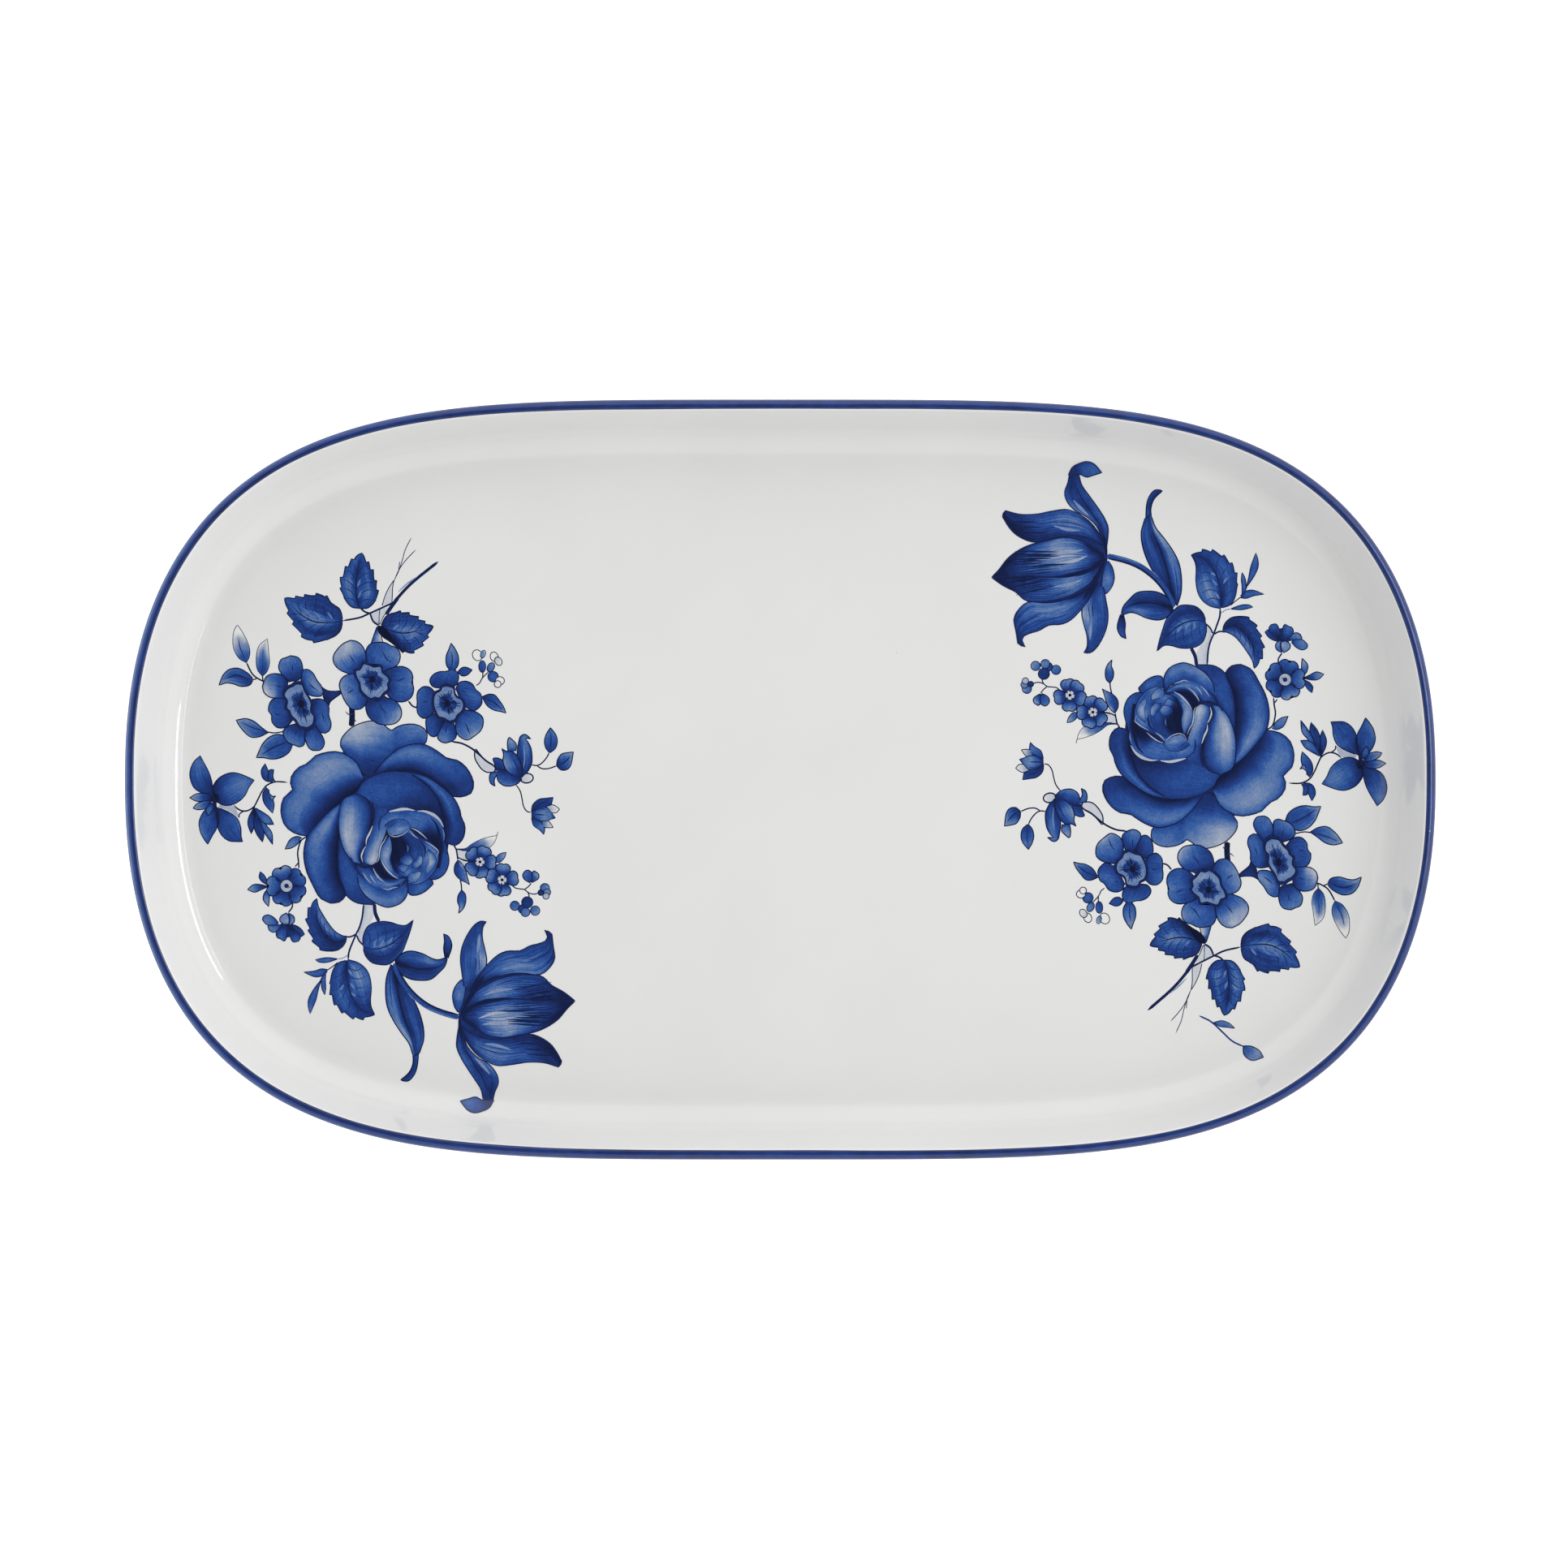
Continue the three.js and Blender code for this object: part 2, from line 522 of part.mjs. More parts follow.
function drawBouquet(prefix, middle, turned, drawings) {
  const turn = turned ? THREE.MathUtils.degToRad(180 + BOUQUET_TURN) : 0;
  const bouquet = new THREE.Group();
  bouquet.position.set(middle.x, middle.y, FLOOR_Z);
  bouquet.rotation.z = turn;
  bouquet.scale.set(bouquetScale, bouquetScale, 1);
  group.add(bouquet);

  const centre = new THREE.Vector2();
  const floorOutline = stations.map((station) => {
    const edge = insetPoint(station, FLOOR_INSET + FLOOR_MARGIN);
    return edge.sub(middle).rotateAround(centre, -turn).divideScalar(bouquetScale);
  });
  const floor = prism(floorOutline, -1, 1);
  const names = Object.keys(drawings);
  names.forEach((name, index) => {
    let solid = joined(drawings[name](), 0, TRANSFER_THICKNESS);
    names.slice(index + 1).forEach((later) => {
      solid = solid.subtract(joined(drawings[later](), -1, 1, TRANSFER_GAP));
    });
    const kept = largestBody(solid.intersect(floor));
    addPiece(`${prefix}_${name}`, toGeometry(kept), printBlue, bouquet);
  });
}

const leftMiddle = new THREE.Vector2(
  -(FLOOR_HALF_LENGTH - BOUQUET_END_MARGIN - TREFOIL_REACH * bouquetScale),
  -BOUQUET_DROP,
);
const rightMiddle = new THREE.Vector2(
  -leftMiddle.x + BOUQUET_SHIFT[0],
  -leftMiddle.y + BOUQUET_SHIFT[1],
);
drawBouquet('left', leftMiddle, false, motifs);
drawBouquet('right', rightMiddle, true, { ...motifs, stray_bud: strayBud });

export default group;
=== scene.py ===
"""China serving platter: a glazed white body on a bare foot ring, a blue band over its lip and
two printed blue bouquets. Lengths in the drawing functions are millimetres on the bouquet's own
drawing, with the rose's middle at the origin; everything that Blender holds is in metres.
A drawn line is a text of points, "x,y x,y"; a sheet's shades are rows of digits, dark to pale."""
import math

import bpy
import numpy as np
from bpy.props import FloatProperty, FloatVectorProperty, IntProperty, PointerProperty
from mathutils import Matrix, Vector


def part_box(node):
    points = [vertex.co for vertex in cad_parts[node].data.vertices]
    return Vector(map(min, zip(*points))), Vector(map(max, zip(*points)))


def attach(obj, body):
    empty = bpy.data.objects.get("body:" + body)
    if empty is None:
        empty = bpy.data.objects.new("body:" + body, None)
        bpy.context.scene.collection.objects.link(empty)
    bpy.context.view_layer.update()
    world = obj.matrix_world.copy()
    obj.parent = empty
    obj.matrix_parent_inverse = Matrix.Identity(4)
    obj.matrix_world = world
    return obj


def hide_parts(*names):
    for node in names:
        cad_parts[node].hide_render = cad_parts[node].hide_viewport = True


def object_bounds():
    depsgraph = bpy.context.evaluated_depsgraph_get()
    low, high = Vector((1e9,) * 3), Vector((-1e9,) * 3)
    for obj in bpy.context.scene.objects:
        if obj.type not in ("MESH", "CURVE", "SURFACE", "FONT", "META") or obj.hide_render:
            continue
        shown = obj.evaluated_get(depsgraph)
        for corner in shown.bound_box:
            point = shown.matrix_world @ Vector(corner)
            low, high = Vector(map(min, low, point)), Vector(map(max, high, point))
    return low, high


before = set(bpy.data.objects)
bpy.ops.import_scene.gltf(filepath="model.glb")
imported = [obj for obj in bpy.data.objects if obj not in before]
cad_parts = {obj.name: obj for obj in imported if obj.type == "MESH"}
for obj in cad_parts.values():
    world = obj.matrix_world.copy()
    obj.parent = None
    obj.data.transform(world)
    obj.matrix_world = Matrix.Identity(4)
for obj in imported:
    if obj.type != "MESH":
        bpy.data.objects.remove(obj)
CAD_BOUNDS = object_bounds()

bl_info = {
    "name": "China Platter",
    "version": (1, 0, 0),
    "blender": (4, 5, 0),
    "location": "3D View > Sidebar > Platter",
    "description": "Builds a china serving platter with a banded lip and two printed bouquets",
    "category": "Add Mesh",
}

MM = 0.001
HIGH = np.array(CAD_BOUNDS[1]) / MM
FLOOR_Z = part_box("left_rose")[0].z / MM
UNDER_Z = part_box("foot_ring")[1].z / MM
RIM_Z = HIGH[2]
ENAMEL = 0.06           # how far the band stands off the china of the lip
LIP_SPLIT = 60          # degrees round the lip where its outside meets its inside

# How much further a print stands off the cove, whose faces are wider than its own.
COVE_LIFT = 0.03

# How far the drawn rose reaches from its middle: left, right, down.
ROSE_REACH = (25.83, 25.6, 25.43)


# ---------------------------------------------------------------------------------------------
# sizes and colours that a user would change


class BodySettings(bpy.types.PropertyGroup):
    """Sizes of the china body."""

    end_power: FloatProperty(name="End squareness", default=4.2,
                             description="Power of the outline's length term")
    side_power: FloatProperty(name="Side squareness", default=2.3,
                              description="Power of the outline's width term")
    lip_radius: FloatProperty(name="Lip radius", default=1.75,
                              description="Radius of the rounded lip, in millimetres")
    wall_angle: FloatProperty(name="Wall angle", default=68.0,
                              description="Slope of the wall from level, in degrees")
    cove_radius: FloatProperty(name="Cove radius", default=11.0,
                               description="Radius where wall meets floor, in millimetres")
    under_radius: FloatProperty(name="Under radius", default=10.0,
                                description="Radius of the outside turn, in millimetres")
    stations: IntProperty(name="Stations", default=480,
                          description="Steps round the outline")
    ground: FloatVectorProperty(name="China colour", subtype="COLOR", size=3,
                                default=(0.700, 0.700, 0.694), min=0, max=1,
                                description="Colour of the glazed china")
    bisque: FloatVectorProperty(name="Bisque colour", subtype="COLOR", size=3,
                                default=(0.66, 0.63, 0.56), min=0, max=1,
                                description="Colour of the bare foot")


class PrintSettings(bpy.types.PropertyGroup):
    """Sizes of the printed decoration."""

    layer: FloatProperty(name="Layer step", default=0.005,
                         description="Height of one printed layer over the last, in millimetres")
    ink_width: FloatProperty(name="Ink width", default=0.3,
                             description="Width of an outline, in millimetres")
    grain: FloatProperty(name="Grain", default=0.15, min=0, max=1,
                         description="How far the print's stipple moves its tone")
    band_width: FloatProperty(name="Band width", default=2.65,
                              description="Width of the band in plan, in millimetres")
    band_wobble: FloatProperty(name="Band wobble", default=0.2,
                               description="How far the band's inner edge strays, in millimetres")


class StageSettings(bpy.types.PropertyGroup):
    """Light and camera."""

    camera_height: FloatProperty(name="Camera height", default=2.4, unit="LENGTH",
                                 description="Height of the camera over the table")
    view_width: FloatProperty(name="View width", default=0.4182, unit="LENGTH",
                              description="Width of the view at the lip")
    key_power: FloatProperty(name="Key power", default=5.0,
                             description="Power of the long window light, in watts")
    sky: FloatProperty(name="Sky strength", default=1.32,
                       description="Strength of the soft light all round")


def settings():
    return bpy.context.scene.platter_body, bpy.context.scene.platter_print


# ---------------------------------------------------------------------------------------------
# the outline, and the surface inside it

FINE_STEPS = 5760       # round the outline, before it is spaced evenly
HALVINGS = 50           # of the gap that holds the outline's radius
NEAR_WALL = 0.6         # share of the floor's half size beyond which the cove may start
COVE_SHARE = 0.9        # how far up the cove, as a share of its radius, a print may climb


def outline_stations(count):
    """Points evenly spaced round the outline, and the outward direction at each."""
    body, _ = settings()
    half_length, half_width = HIGH[:2]
    angle = np.linspace(0, 2 * math.pi, FINE_STEPS + 1)
    inside = np.zeros_like(angle)
    outside = np.full_like(angle, 2 * half_length)
    for _ in range(HALVINGS):
        radius = (inside + outside) / 2
        along = np.abs(radius * np.cos(angle) / half_length) ** body.end_power
        across = np.abs(radius * np.sin(angle) / half_width) ** body.side_power
        within = along + across < 1
        inside = np.where(within, radius, inside)
        outside = np.where(within, outside, radius)
    fine = np.c_[radius * np.cos(angle), radius * np.sin(angle)]
    run = np.r_[0, np.cumsum(np.linalg.norm(np.diff(fine, axis=0), axis=1))]
    at = np.linspace(0, run[-1], count + 1)[:-1]
    points = np.c_[np.interp(at, run, fine[:, 0]), np.interp(at, run, fine[:, 1])]
    tangent = np.roll(points, -1, axis=0) - np.roll(points, 1, axis=0)
    tangent /= np.linalg.norm(tangent, axis=1)[:, None]
    return points, np.c_[tangent[:, 1], -tangent[:, 0]]


def arc(inset, z, radius, start, end, steps):
    """Points [inset, z] round an arc, by degrees from its outermost line over the top."""
    angle = np.radians(np.linspace(start, end, steps + 1))
    return np.c_[inset - radius * np.cos(angle), z + radius * np.sin(angle)]


def inner_profile():
    """The inside of the lip, the wall, the cove and the start of the floor, as [inset, z]."""
    body, _ = settings()
    lip_z = RIM_Z - body.lip_radius
    lip = arc(body.lip_radius, lip_z, body.lip_radius - ENAMEL,
              LIP_SPLIT, 90 + body.wall_angle, 18)
    slope = math.radians(body.wall_angle)
    cove_top = FLOOR_Z + body.cove_radius * (1 - math.cos(slope))
    start = lip[-1, 0] + (lip[-1, 1] - cove_top) / math.tan(slope)
    floor_inset = start + body.cove_radius * math.sin(slope)
    cove = arc(floor_inset, FLOOR_Z + body.cove_radius, body.cove_radius,
               body.wall_angle - 90, -90, 20)
    wall = np.linspace(lip[-1], cove[0], 7)[1:-1]
    return np.vstack([lip, wall, cove])


def surface_z(points):
    """Height of the china under each point of the plan: flat inside, rising over the cove."""
    body, _ = settings()
    floor_inset = inner_profile()[-1, 0]
    ring, _ = outline_stations(720)
    z = np.full(len(points), FLOOR_Z)
    reach = HIGH[:2] - floor_inset
    outer = np.flatnonzero((np.abs(points) / reach).max(axis=1) > NEAR_WALL)
    if len(outer):
        gap = points[outer][:, None, :] - ring[None, :, :]
        inset = np.sqrt((gap ** 2).sum(axis=2)).min(axis=1)
        into = np.clip(floor_inset - inset, 0, COVE_SHARE * body.cove_radius)
        z[outer] += body.cove_radius - np.sqrt(body.cove_radius ** 2 - into ** 2)
    return z


# ---------------------------------------------------------------------------------------------
# mesh making


def select_only(obj):
    bpy.ops.object.select_all(action="DESELECT")
    obj.select_set(True)
    bpy.context.view_layer.objects.active = obj


def get_vertices(obj):
    place = np.empty(len(obj.data.vertices) * 3)
    obj.data.vertices.foreach_get("co", place)
    return place.reshape(-1, 3)


def put_vertices(obj, points):
    obj.data.vertices.foreach_set("co", np.ascontiguousarray(points, float).ravel())
    obj.data.update()


def add_grid(name, columns, rows):
    """A primitive grid of so many steps each way, with where each vertex lies in it."""
    bpy.ops.object.select_all(action="DESELECT")
    bpy.ops.mesh.primitive_grid_add(x_subdivisions=columns, y_subdivisions=rows, size=2)
    obj = bpy.context.object
    obj.name = obj.data.name = name
    place = (get_vertices(obj)[:, :2] + 1) / 2
    column = np.rint(place[:, 0] * columns).astype(int)
    row = np.rint(place[:, 1] * rows).astype(int)
    return obj, column, row


def store(obj, name, values):
    """Keeps one number for each vertex under a name that a material can read."""
    attribute = obj.data.attributes.get(name) or obj.data.attributes.new(name, "FLOAT", "POINT")
    attribute.data.foreach_set("value", np.ascontiguousarray(values, np.float32))


def edit(obj, *steps):
    """Runs edit-mode operators on the whole of a mesh."""
    select_only(obj)
    bpy.ops.object.mode_set(mode="EDIT")
    bpy.ops.mesh.select_all(action="SELECT")
    for step in steps:
        step()
    bpy.ops.object.mode_set(mode="OBJECT")


def smooth_faces(obj, degrees=40):
    select_only(obj)
    bpy.ops.object.shade_smooth_by_angle(angle=math.radians(degrees), keep_sharp_edges=False)


def lay_round(name, profile, shrink=None):
    """A closed skin whose section follows the outline. shrink draws a row in to the middle."""
    body, _ = settings()
    count = body.stations
    ring, outward = outline_stations(count)
    shrink = np.zeros(len(profile)) if shrink is None else shrink
    obj, column, row = add_grid(name, count, len(profile) - 1)
    station = column % count
    plan = ring[station] - outward[station] * profile[row, 0][:, None]
    plan *= (1 - shrink[row])[:, None]
    put_vertices(obj, np.c_[plan, profile[row, 1]] * MM)
    return obj, station, row


def face_outwards():
    bpy.ops.mesh.normals_make_consistent(inside=False)


def merge(obj):
    """Welds a skin where its ends meet."""
    edit(obj, lambda: bpy.ops.mesh.remove_doubles(threshold=1e-7), face_outwards)


def finish_piece(obj, material, slot, *nodes):
    """Gives a piece its material and its body, and hides the nodes that it stands for; slot is not
    used.
    """
    obj.data.materials.clear()
    obj.data.materials.append(material)
    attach(obj, "root")
    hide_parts(*nodes)


# ---------------------------------------------------------------------------------------------
# node trees


class Tree:
    """Short ways to add and join shader nodes."""

    def __init__(self, tree):
        self.tree = tree

    def node(self, kind, **values):
        made = self.tree.nodes.new(kind)
        for key, value in values.items():
            setattr(made, key, value)
        return made

    def link(self, source, target):
        self.tree.links.new(source, target)

    def math(self, operation, first, second, clamp=False):
        made = self.node("ShaderNodeMath", operation=operation, use_clamp=clamp)
        for socket, value in zip(made.inputs, (first, second)):
            if isinstance(value, (int, float)):
                socket.default_value = value
            else:
                self.link(value, socket)
        return made.outputs[0]

    def noise(self, vector, scale, detail=2.0, roughness=0.5, dimensions="3D"):
        made = self.node("ShaderNodeTexNoise", noise_dimensions=dimensions)
        made.inputs["Scale"].default_value = scale
        made.inputs["Detail"].default_value = detail
        made.inputs["Roughness"].default_value = roughness
        self.link(vector, made.inputs["Vector"])
        return made.outputs["Fac"]

    def remap(self, value, low, high, to_low=0.0, to_high=1.0, soft=False):
        made = self.node("ShaderNodeMapRange")
        made.interpolation_type = "SMOOTHSTEP" if soft else "LINEAR"
        for name, number in (("From Min", low), ("From Max", high),
                             ("To Min", to_low), ("To Max", to_high)):
            made.inputs[name].default_value = number
        self.link(value, made.inputs["Value"])
        return made.outputs["Result"]

    def ramp(self, value, stops):
        made = self.node("ShaderNodeValToRGB")
        marks = made.color_ramp.elements
        while len(marks) < len(stops):
            marks.new(0.5)
        for mark, (position, colour) in zip(marks, stops):
            mark.position = position
            mark.color = (*colour, 1)
        self.link(value, made.inputs["Fac"])
        return made.outputs["Color"]


def new_group(name, inputs, outputs):
    """An empty shader node group with named sockets, and its two end nodes."""
    tree = bpy.data.node_groups.new(name, "ShaderNodeTree")
    for label, kind, default in inputs:
        socket = tree.interface.new_socket(label, in_out="INPUT", socket_type=kind)
        socket.default_value = default
    for label, kind in outputs:
        tree.interface.new_socket(label, in_out="OUTPUT", socket_type=kind)
    pen = Tree(tree)
    return pen, pen.node("NodeGroupInput").outputs, pen.node("NodeGroupOutput").inputs


def linear(red, green, blue):
    """A colour on the 0 to 255 screen scale as the scene's linear colour."""
    return tuple(
        (c / 255 / 12.92) if c / 255 <= 0.04045 else ((c / 255 + 0.055) / 1.055) ** 2.4
        for c in (red, green, blue)
    )


# The cobalt from its deepest to bare china, at even steps of tone.
COBALT = (
    (11, 19, 45), (22, 36, 82), (28, 52, 114), (36, 70, 140), (52, 90, 156), (80, 111, 164),
    (108, 131, 172), (138, 152, 179), (165, 173, 189), (192, 196, 204), (224, 224, 223),
)


SPECK_COLOUR = (0.16, 0.17, 0.21)


def ripple_group():
    """The glaze's slow ripple and fine orange peel, as a normal."""
    pen, given, result = new_group(
        "glaze_ripple", [("Strength", "NodeSocketFloat", 1.0)], [("Normal", "NodeSocketVector")])
    place = pen.node("ShaderNodeTexCoord").outputs["Object"]
    slow = pen.noise(place, 55, 1.0)
    peel = pen.noise(place, 420, 1.0)
    height = pen.math("ADD", slow, pen.math("MULTIPLY", peel, 0.06))
    bump = pen.node("ShaderNodeBump")
    bump.inputs["Distance"].default_value = 0.00022
    pen.link(pen.math("MULTIPLY", given["Strength"], 0.5), bump.inputs["Strength"])
    pen.link(height, bump.inputs["Height"])
    pen.link(bump.outputs["Normal"], result["Normal"])
    return pen.tree


def speck_group():
    """Sparse pinholes and specks fired into the glaze, as a mask."""
    pen, given, result = new_group(
        "kiln_specks", [("Scale", "NodeSocketFloat", 90.0)], [("Mask", "NodeSocketFloat")])
    place = pen.node("ShaderNodeTexCoord").outputs["Object"]
    cells = pen.node("ShaderNodeTexVoronoi", feature="F1")
    pen.link(place, cells.inputs["Vector"])
    pen.link(given["Scale"], cells.inputs["Scale"])
    cells.inputs["Randomness"].default_value = 1.0
    pick = pen.node("ShaderNodeSeparateColor")
    pen.link(cells.outputs["Color"], pick.inputs["Color"])
    rare = pen.math("GREATER_THAN", pick.outputs["Red"], 0.86)
    size = pen.remap(pick.outputs["Green"], 0.0, 1.0, 0.008, 0.028)
    dot = pen.math("LESS_THAN", cells.outputs["Distance"], size)
    faint = pen.remap(pick.outputs["Blue"], 0.0, 1.0, 0.15, 0.8)
    pen.link(pen.math("MULTIPLY", pen.math("MULTIPLY", rare, dot), faint), result["Mask"])
    return pen.tree


def cobalt_group(ground):
    """Turns a tone into the cobalt's colour, with its stipple and brush streaks."""
    pen, given, result = new_group(
        "cobalt_print",
        [("Tone", "NodeSocketFloat", 0.5), ("Streak", "NodeSocketFloat", 0.3),
         ("Grain", "NodeSocketFloat", 0.1)],
        [("Color", "NodeSocketColor")])
    coordinates = pen.node("ShaderNodeTexCoord")
    place = coordinates.outputs["Object"]
    stipple = pen.math("SUBTRACT", pen.noise(place, 2600, 1.0, 0.7), 0.5)
    mottle = pen.math("SUBTRACT", pen.noise(place, 620, 2.0, 0.6), 0.5)
    stretch = pen.node("ShaderNodeMapping")
    stretch.inputs["Scale"].default_value = (24, 1.6, 1)
    pen.link(coordinates.outputs["UV"], stretch.inputs["Vector"])
    brush = pen.math("SUBTRACT", pen.noise(stretch.outputs[0], 1.0, 3.0, 0.6, "2D"), 0.5)
    squared = pen.math("MULTIPLY", given["Tone"], given["Tone"])
    middle = pen.math("SUBTRACT", given["Tone"], squared)
    room = pen.math("ADD", pen.math("MULTIPLY", middle, 3.6), 0.12)
    moved = pen.math("ADD", pen.math("MULTIPLY", stipple, 1.3), mottle)
    moved = pen.math("MULTIPLY", moved, given["Grain"])
    streaks = pen.math("MULTIPLY", pen.math("MULTIPLY", brush, given["Streak"]), 0.75)
    change = pen.math("MULTIPLY", pen.math("ADD", moved, streaks), room)
    tone = pen.math("ADD", given["Tone"], change, clamp=True)
    scale = ground[0] / linear(*COBALT[-1])[0]
    last = len(COBALT) - 1
    stops = [
        (index / last, tuple(min(1.0, c * scale) for c in linear(*colour)))
        for index, colour in enumerate(COBALT)
    ]
    pen.link(pen.ramp(tone, stops), result["Color"])
    return pen.tree


def new_material(name, roughness):
    material = bpy.data.materials.new(name)
    material.use_nodes = True
    pen = Tree(material.node_tree)
    shader = material.node_tree.nodes["Principled BSDF"]
    shader.inputs["Roughness"].default_value = roughness
    shader.inputs["IOR"].default_value = 1.5
    return material, pen, shader


def group_node(pen, name, **values):
    made = pen.node("ShaderNodeGroup")
    made.node_tree = bpy.data.node_groups[name]
    for key, value in values.items():
        made.inputs[key].default_value = value
    return made


def add_ripple(pen, shader, strength=1.0):
    ripple = group_node(pen, "glaze_ripple", Strength=strength)
    pen.link(ripple.outputs["Normal"], shader.inputs["Normal"])


def add_specks(pen, shader, colour, scale, speck_colour):
    """Links a colour to the shader, with specks of another over it."""
    specks = group_node(pen, "kiln_specks", Scale=scale)
    mix = pen.node("ShaderNodeMix", data_type="RGBA")
    mix.inputs["B"].default_value = (*speck_colour, 1)
    pen.link(specks.outputs["Mask"], mix.inputs["Factor"])
    pen.link(colour, mix.inputs["A"])
    pen.link(mix.outputs["Result"], shader.inputs["Base Color"])


def china_material():
    """White china under a clear glaze: a trace of mottle, and specks from the kiln."""
    body, _ = settings()
    material, pen, shader = new_material("glazed_china", 0.07)
    place = pen.node("ShaderNodeTexCoord").outputs["Object"]
    cloud = pen.noise(place, 28, 3.0, 0.55)
    tone = pen.ramp(cloud, (
        (0.3, tuple(c * 0.972 for c in body.ground)), (0.7, tuple(body.ground))))
    add_specks(pen, shader, tone, 95.0, SPECK_COLOUR)
    sheen = pen.remap(pen.noise(place, 140, 2.0), 0.3, 0.7, 0.055, 0.1)
    pen.link(sheen, shader.inputs["Roughness"])
    add_ripple(pen, shader)
    return material


def print_material():
    """Cobalt print under the same glaze."""
    _, decor = settings()
    material, pen, shader = new_material("cobalt_print", 0.08)
    tone = pen.node("ShaderNodeAttribute", attribute_name="tone")
    streak = pen.node("ShaderNodeAttribute", attribute_name="streak")
    cobalt = group_node(pen, "cobalt_print", Grain=decor.grain)
    pen.link(tone.outputs["Fac"], cobalt.inputs["Tone"])
    pen.link(streak.outputs["Fac"], cobalt.inputs["Streak"])
    pen.link(cobalt.outputs["Color"], shader.inputs["Base Color"])
    add_ripple(pen, shader)
    return material


def band_material():
    """Hand-laid blue enamel: brush streaks along the lip and a few chips at the crown."""
    body, _ = settings()
    material, pen, shader = new_material("band_enamel", 0.2)
    coordinates = pen.node("ShaderNodeTexCoord")
    tone = pen.node("ShaderNodeAttribute", attribute_name="tone")
    cobalt = group_node(pen, "cobalt_print", Grain=0.05, Streak=0.0)
    stretch = pen.node("ShaderNodeMapping")
    stretch.inputs["Scale"].default_value = (210, 7, 1)
    pen.link(coordinates.outputs["UV"], stretch.inputs["Vector"])
    brush = pen.noise(stretch.outputs[0], 1.0, 2.0, 0.55, "2D")
    load = pen.noise(coordinates.outputs["Object"], 34, 2.0)
    uneven = pen.math("ADD", pen.remap(brush, 0.3, 0.7, -0.035, 0.035),
                      pen.remap(load, 0.3, 0.7, -0.025, 0.025))
    pen.link(pen.math("ADD", tone.outputs["Fac"], uneven), cobalt.inputs["Tone"])
    add_specks(pen, shader, cobalt.outputs["Color"], 150.0, body.ground)
    add_ripple(pen, shader, 1.4)
    return material


def bisque_material():
    """Bare fired clay: fine grain, and grey smudges where it has stood and slid."""
    body, _ = settings()
    material, pen, shader = new_material("bare_foot", 0.85)
    place = pen.node("ShaderNodeTexCoord").outputs["Object"]
    wear = pen.noise(place, 60, 4.0, 0.65)
    colour = pen.ramp(wear, (
        (0.35, tuple(c * 0.8 for c in body.bisque)), (0.6, tuple(body.bisque))))
    pen.link(colour, shader.inputs["Base Color"])
    bump = pen.node("ShaderNodeBump")
    bump.inputs["Distance"].default_value = 0.00008
    bump.inputs["Strength"].default_value = 0.6
    pen.link(pen.noise(place, 3200, 3.0, 0.7), bump.inputs["Height"])
    pen.link(bump.outputs["Normal"], shader.inputs["Normal"])
    return material


# ---------------------------------------------------------------------------------------------
# body, band and foot


def make_body():
    """Underside, outer wall, lip, inner wall, cove and floor as one closed skin."""
    body, _ = settings()
    slope = body.wall_angle
    lip = arc(body.lip_radius, RIM_Z - body.lip_radius, body.lip_radius - ENAMEL,
              slope - 90, LIP_SPLIT, 26)
    under_top = UNDER_Z + body.under_radius * (1 - math.cos(math.radians(slope)))
    start = lip[0, 0] + (lip[0, 1] - under_top) / math.tan(math.radians(slope))
    under_inset = start + body.under_radius * math.sin(math.radians(slope))
    under = arc(under_inset, UNDER_Z + body.under_radius, body.under_radius, -90, slope - 90, 16)
    outer = np.linspace(under[-1], lip[0], 7)[1:-1]
    inner = inner_profile()
    steps = 10
    below = np.repeat(under[:1], steps, axis=0)
    above = np.repeat(inner[-1:], steps, axis=0)
    profile = np.vstack([below, under, outer, lip, inner[1:], above])
    shrink = np.zeros(len(profile))
    shrink[:steps] = np.linspace(1, 0, steps, endpoint=False)
    shrink[-steps:] = np.linspace(0, 1, steps + 1)[1:]
    obj, _, _ = lay_round("china_body", profile, shrink)
    merge(obj)
    smooth_faces(obj)
    finish_piece(obj, china_material(), "porcelain_glaze", "platter_body")


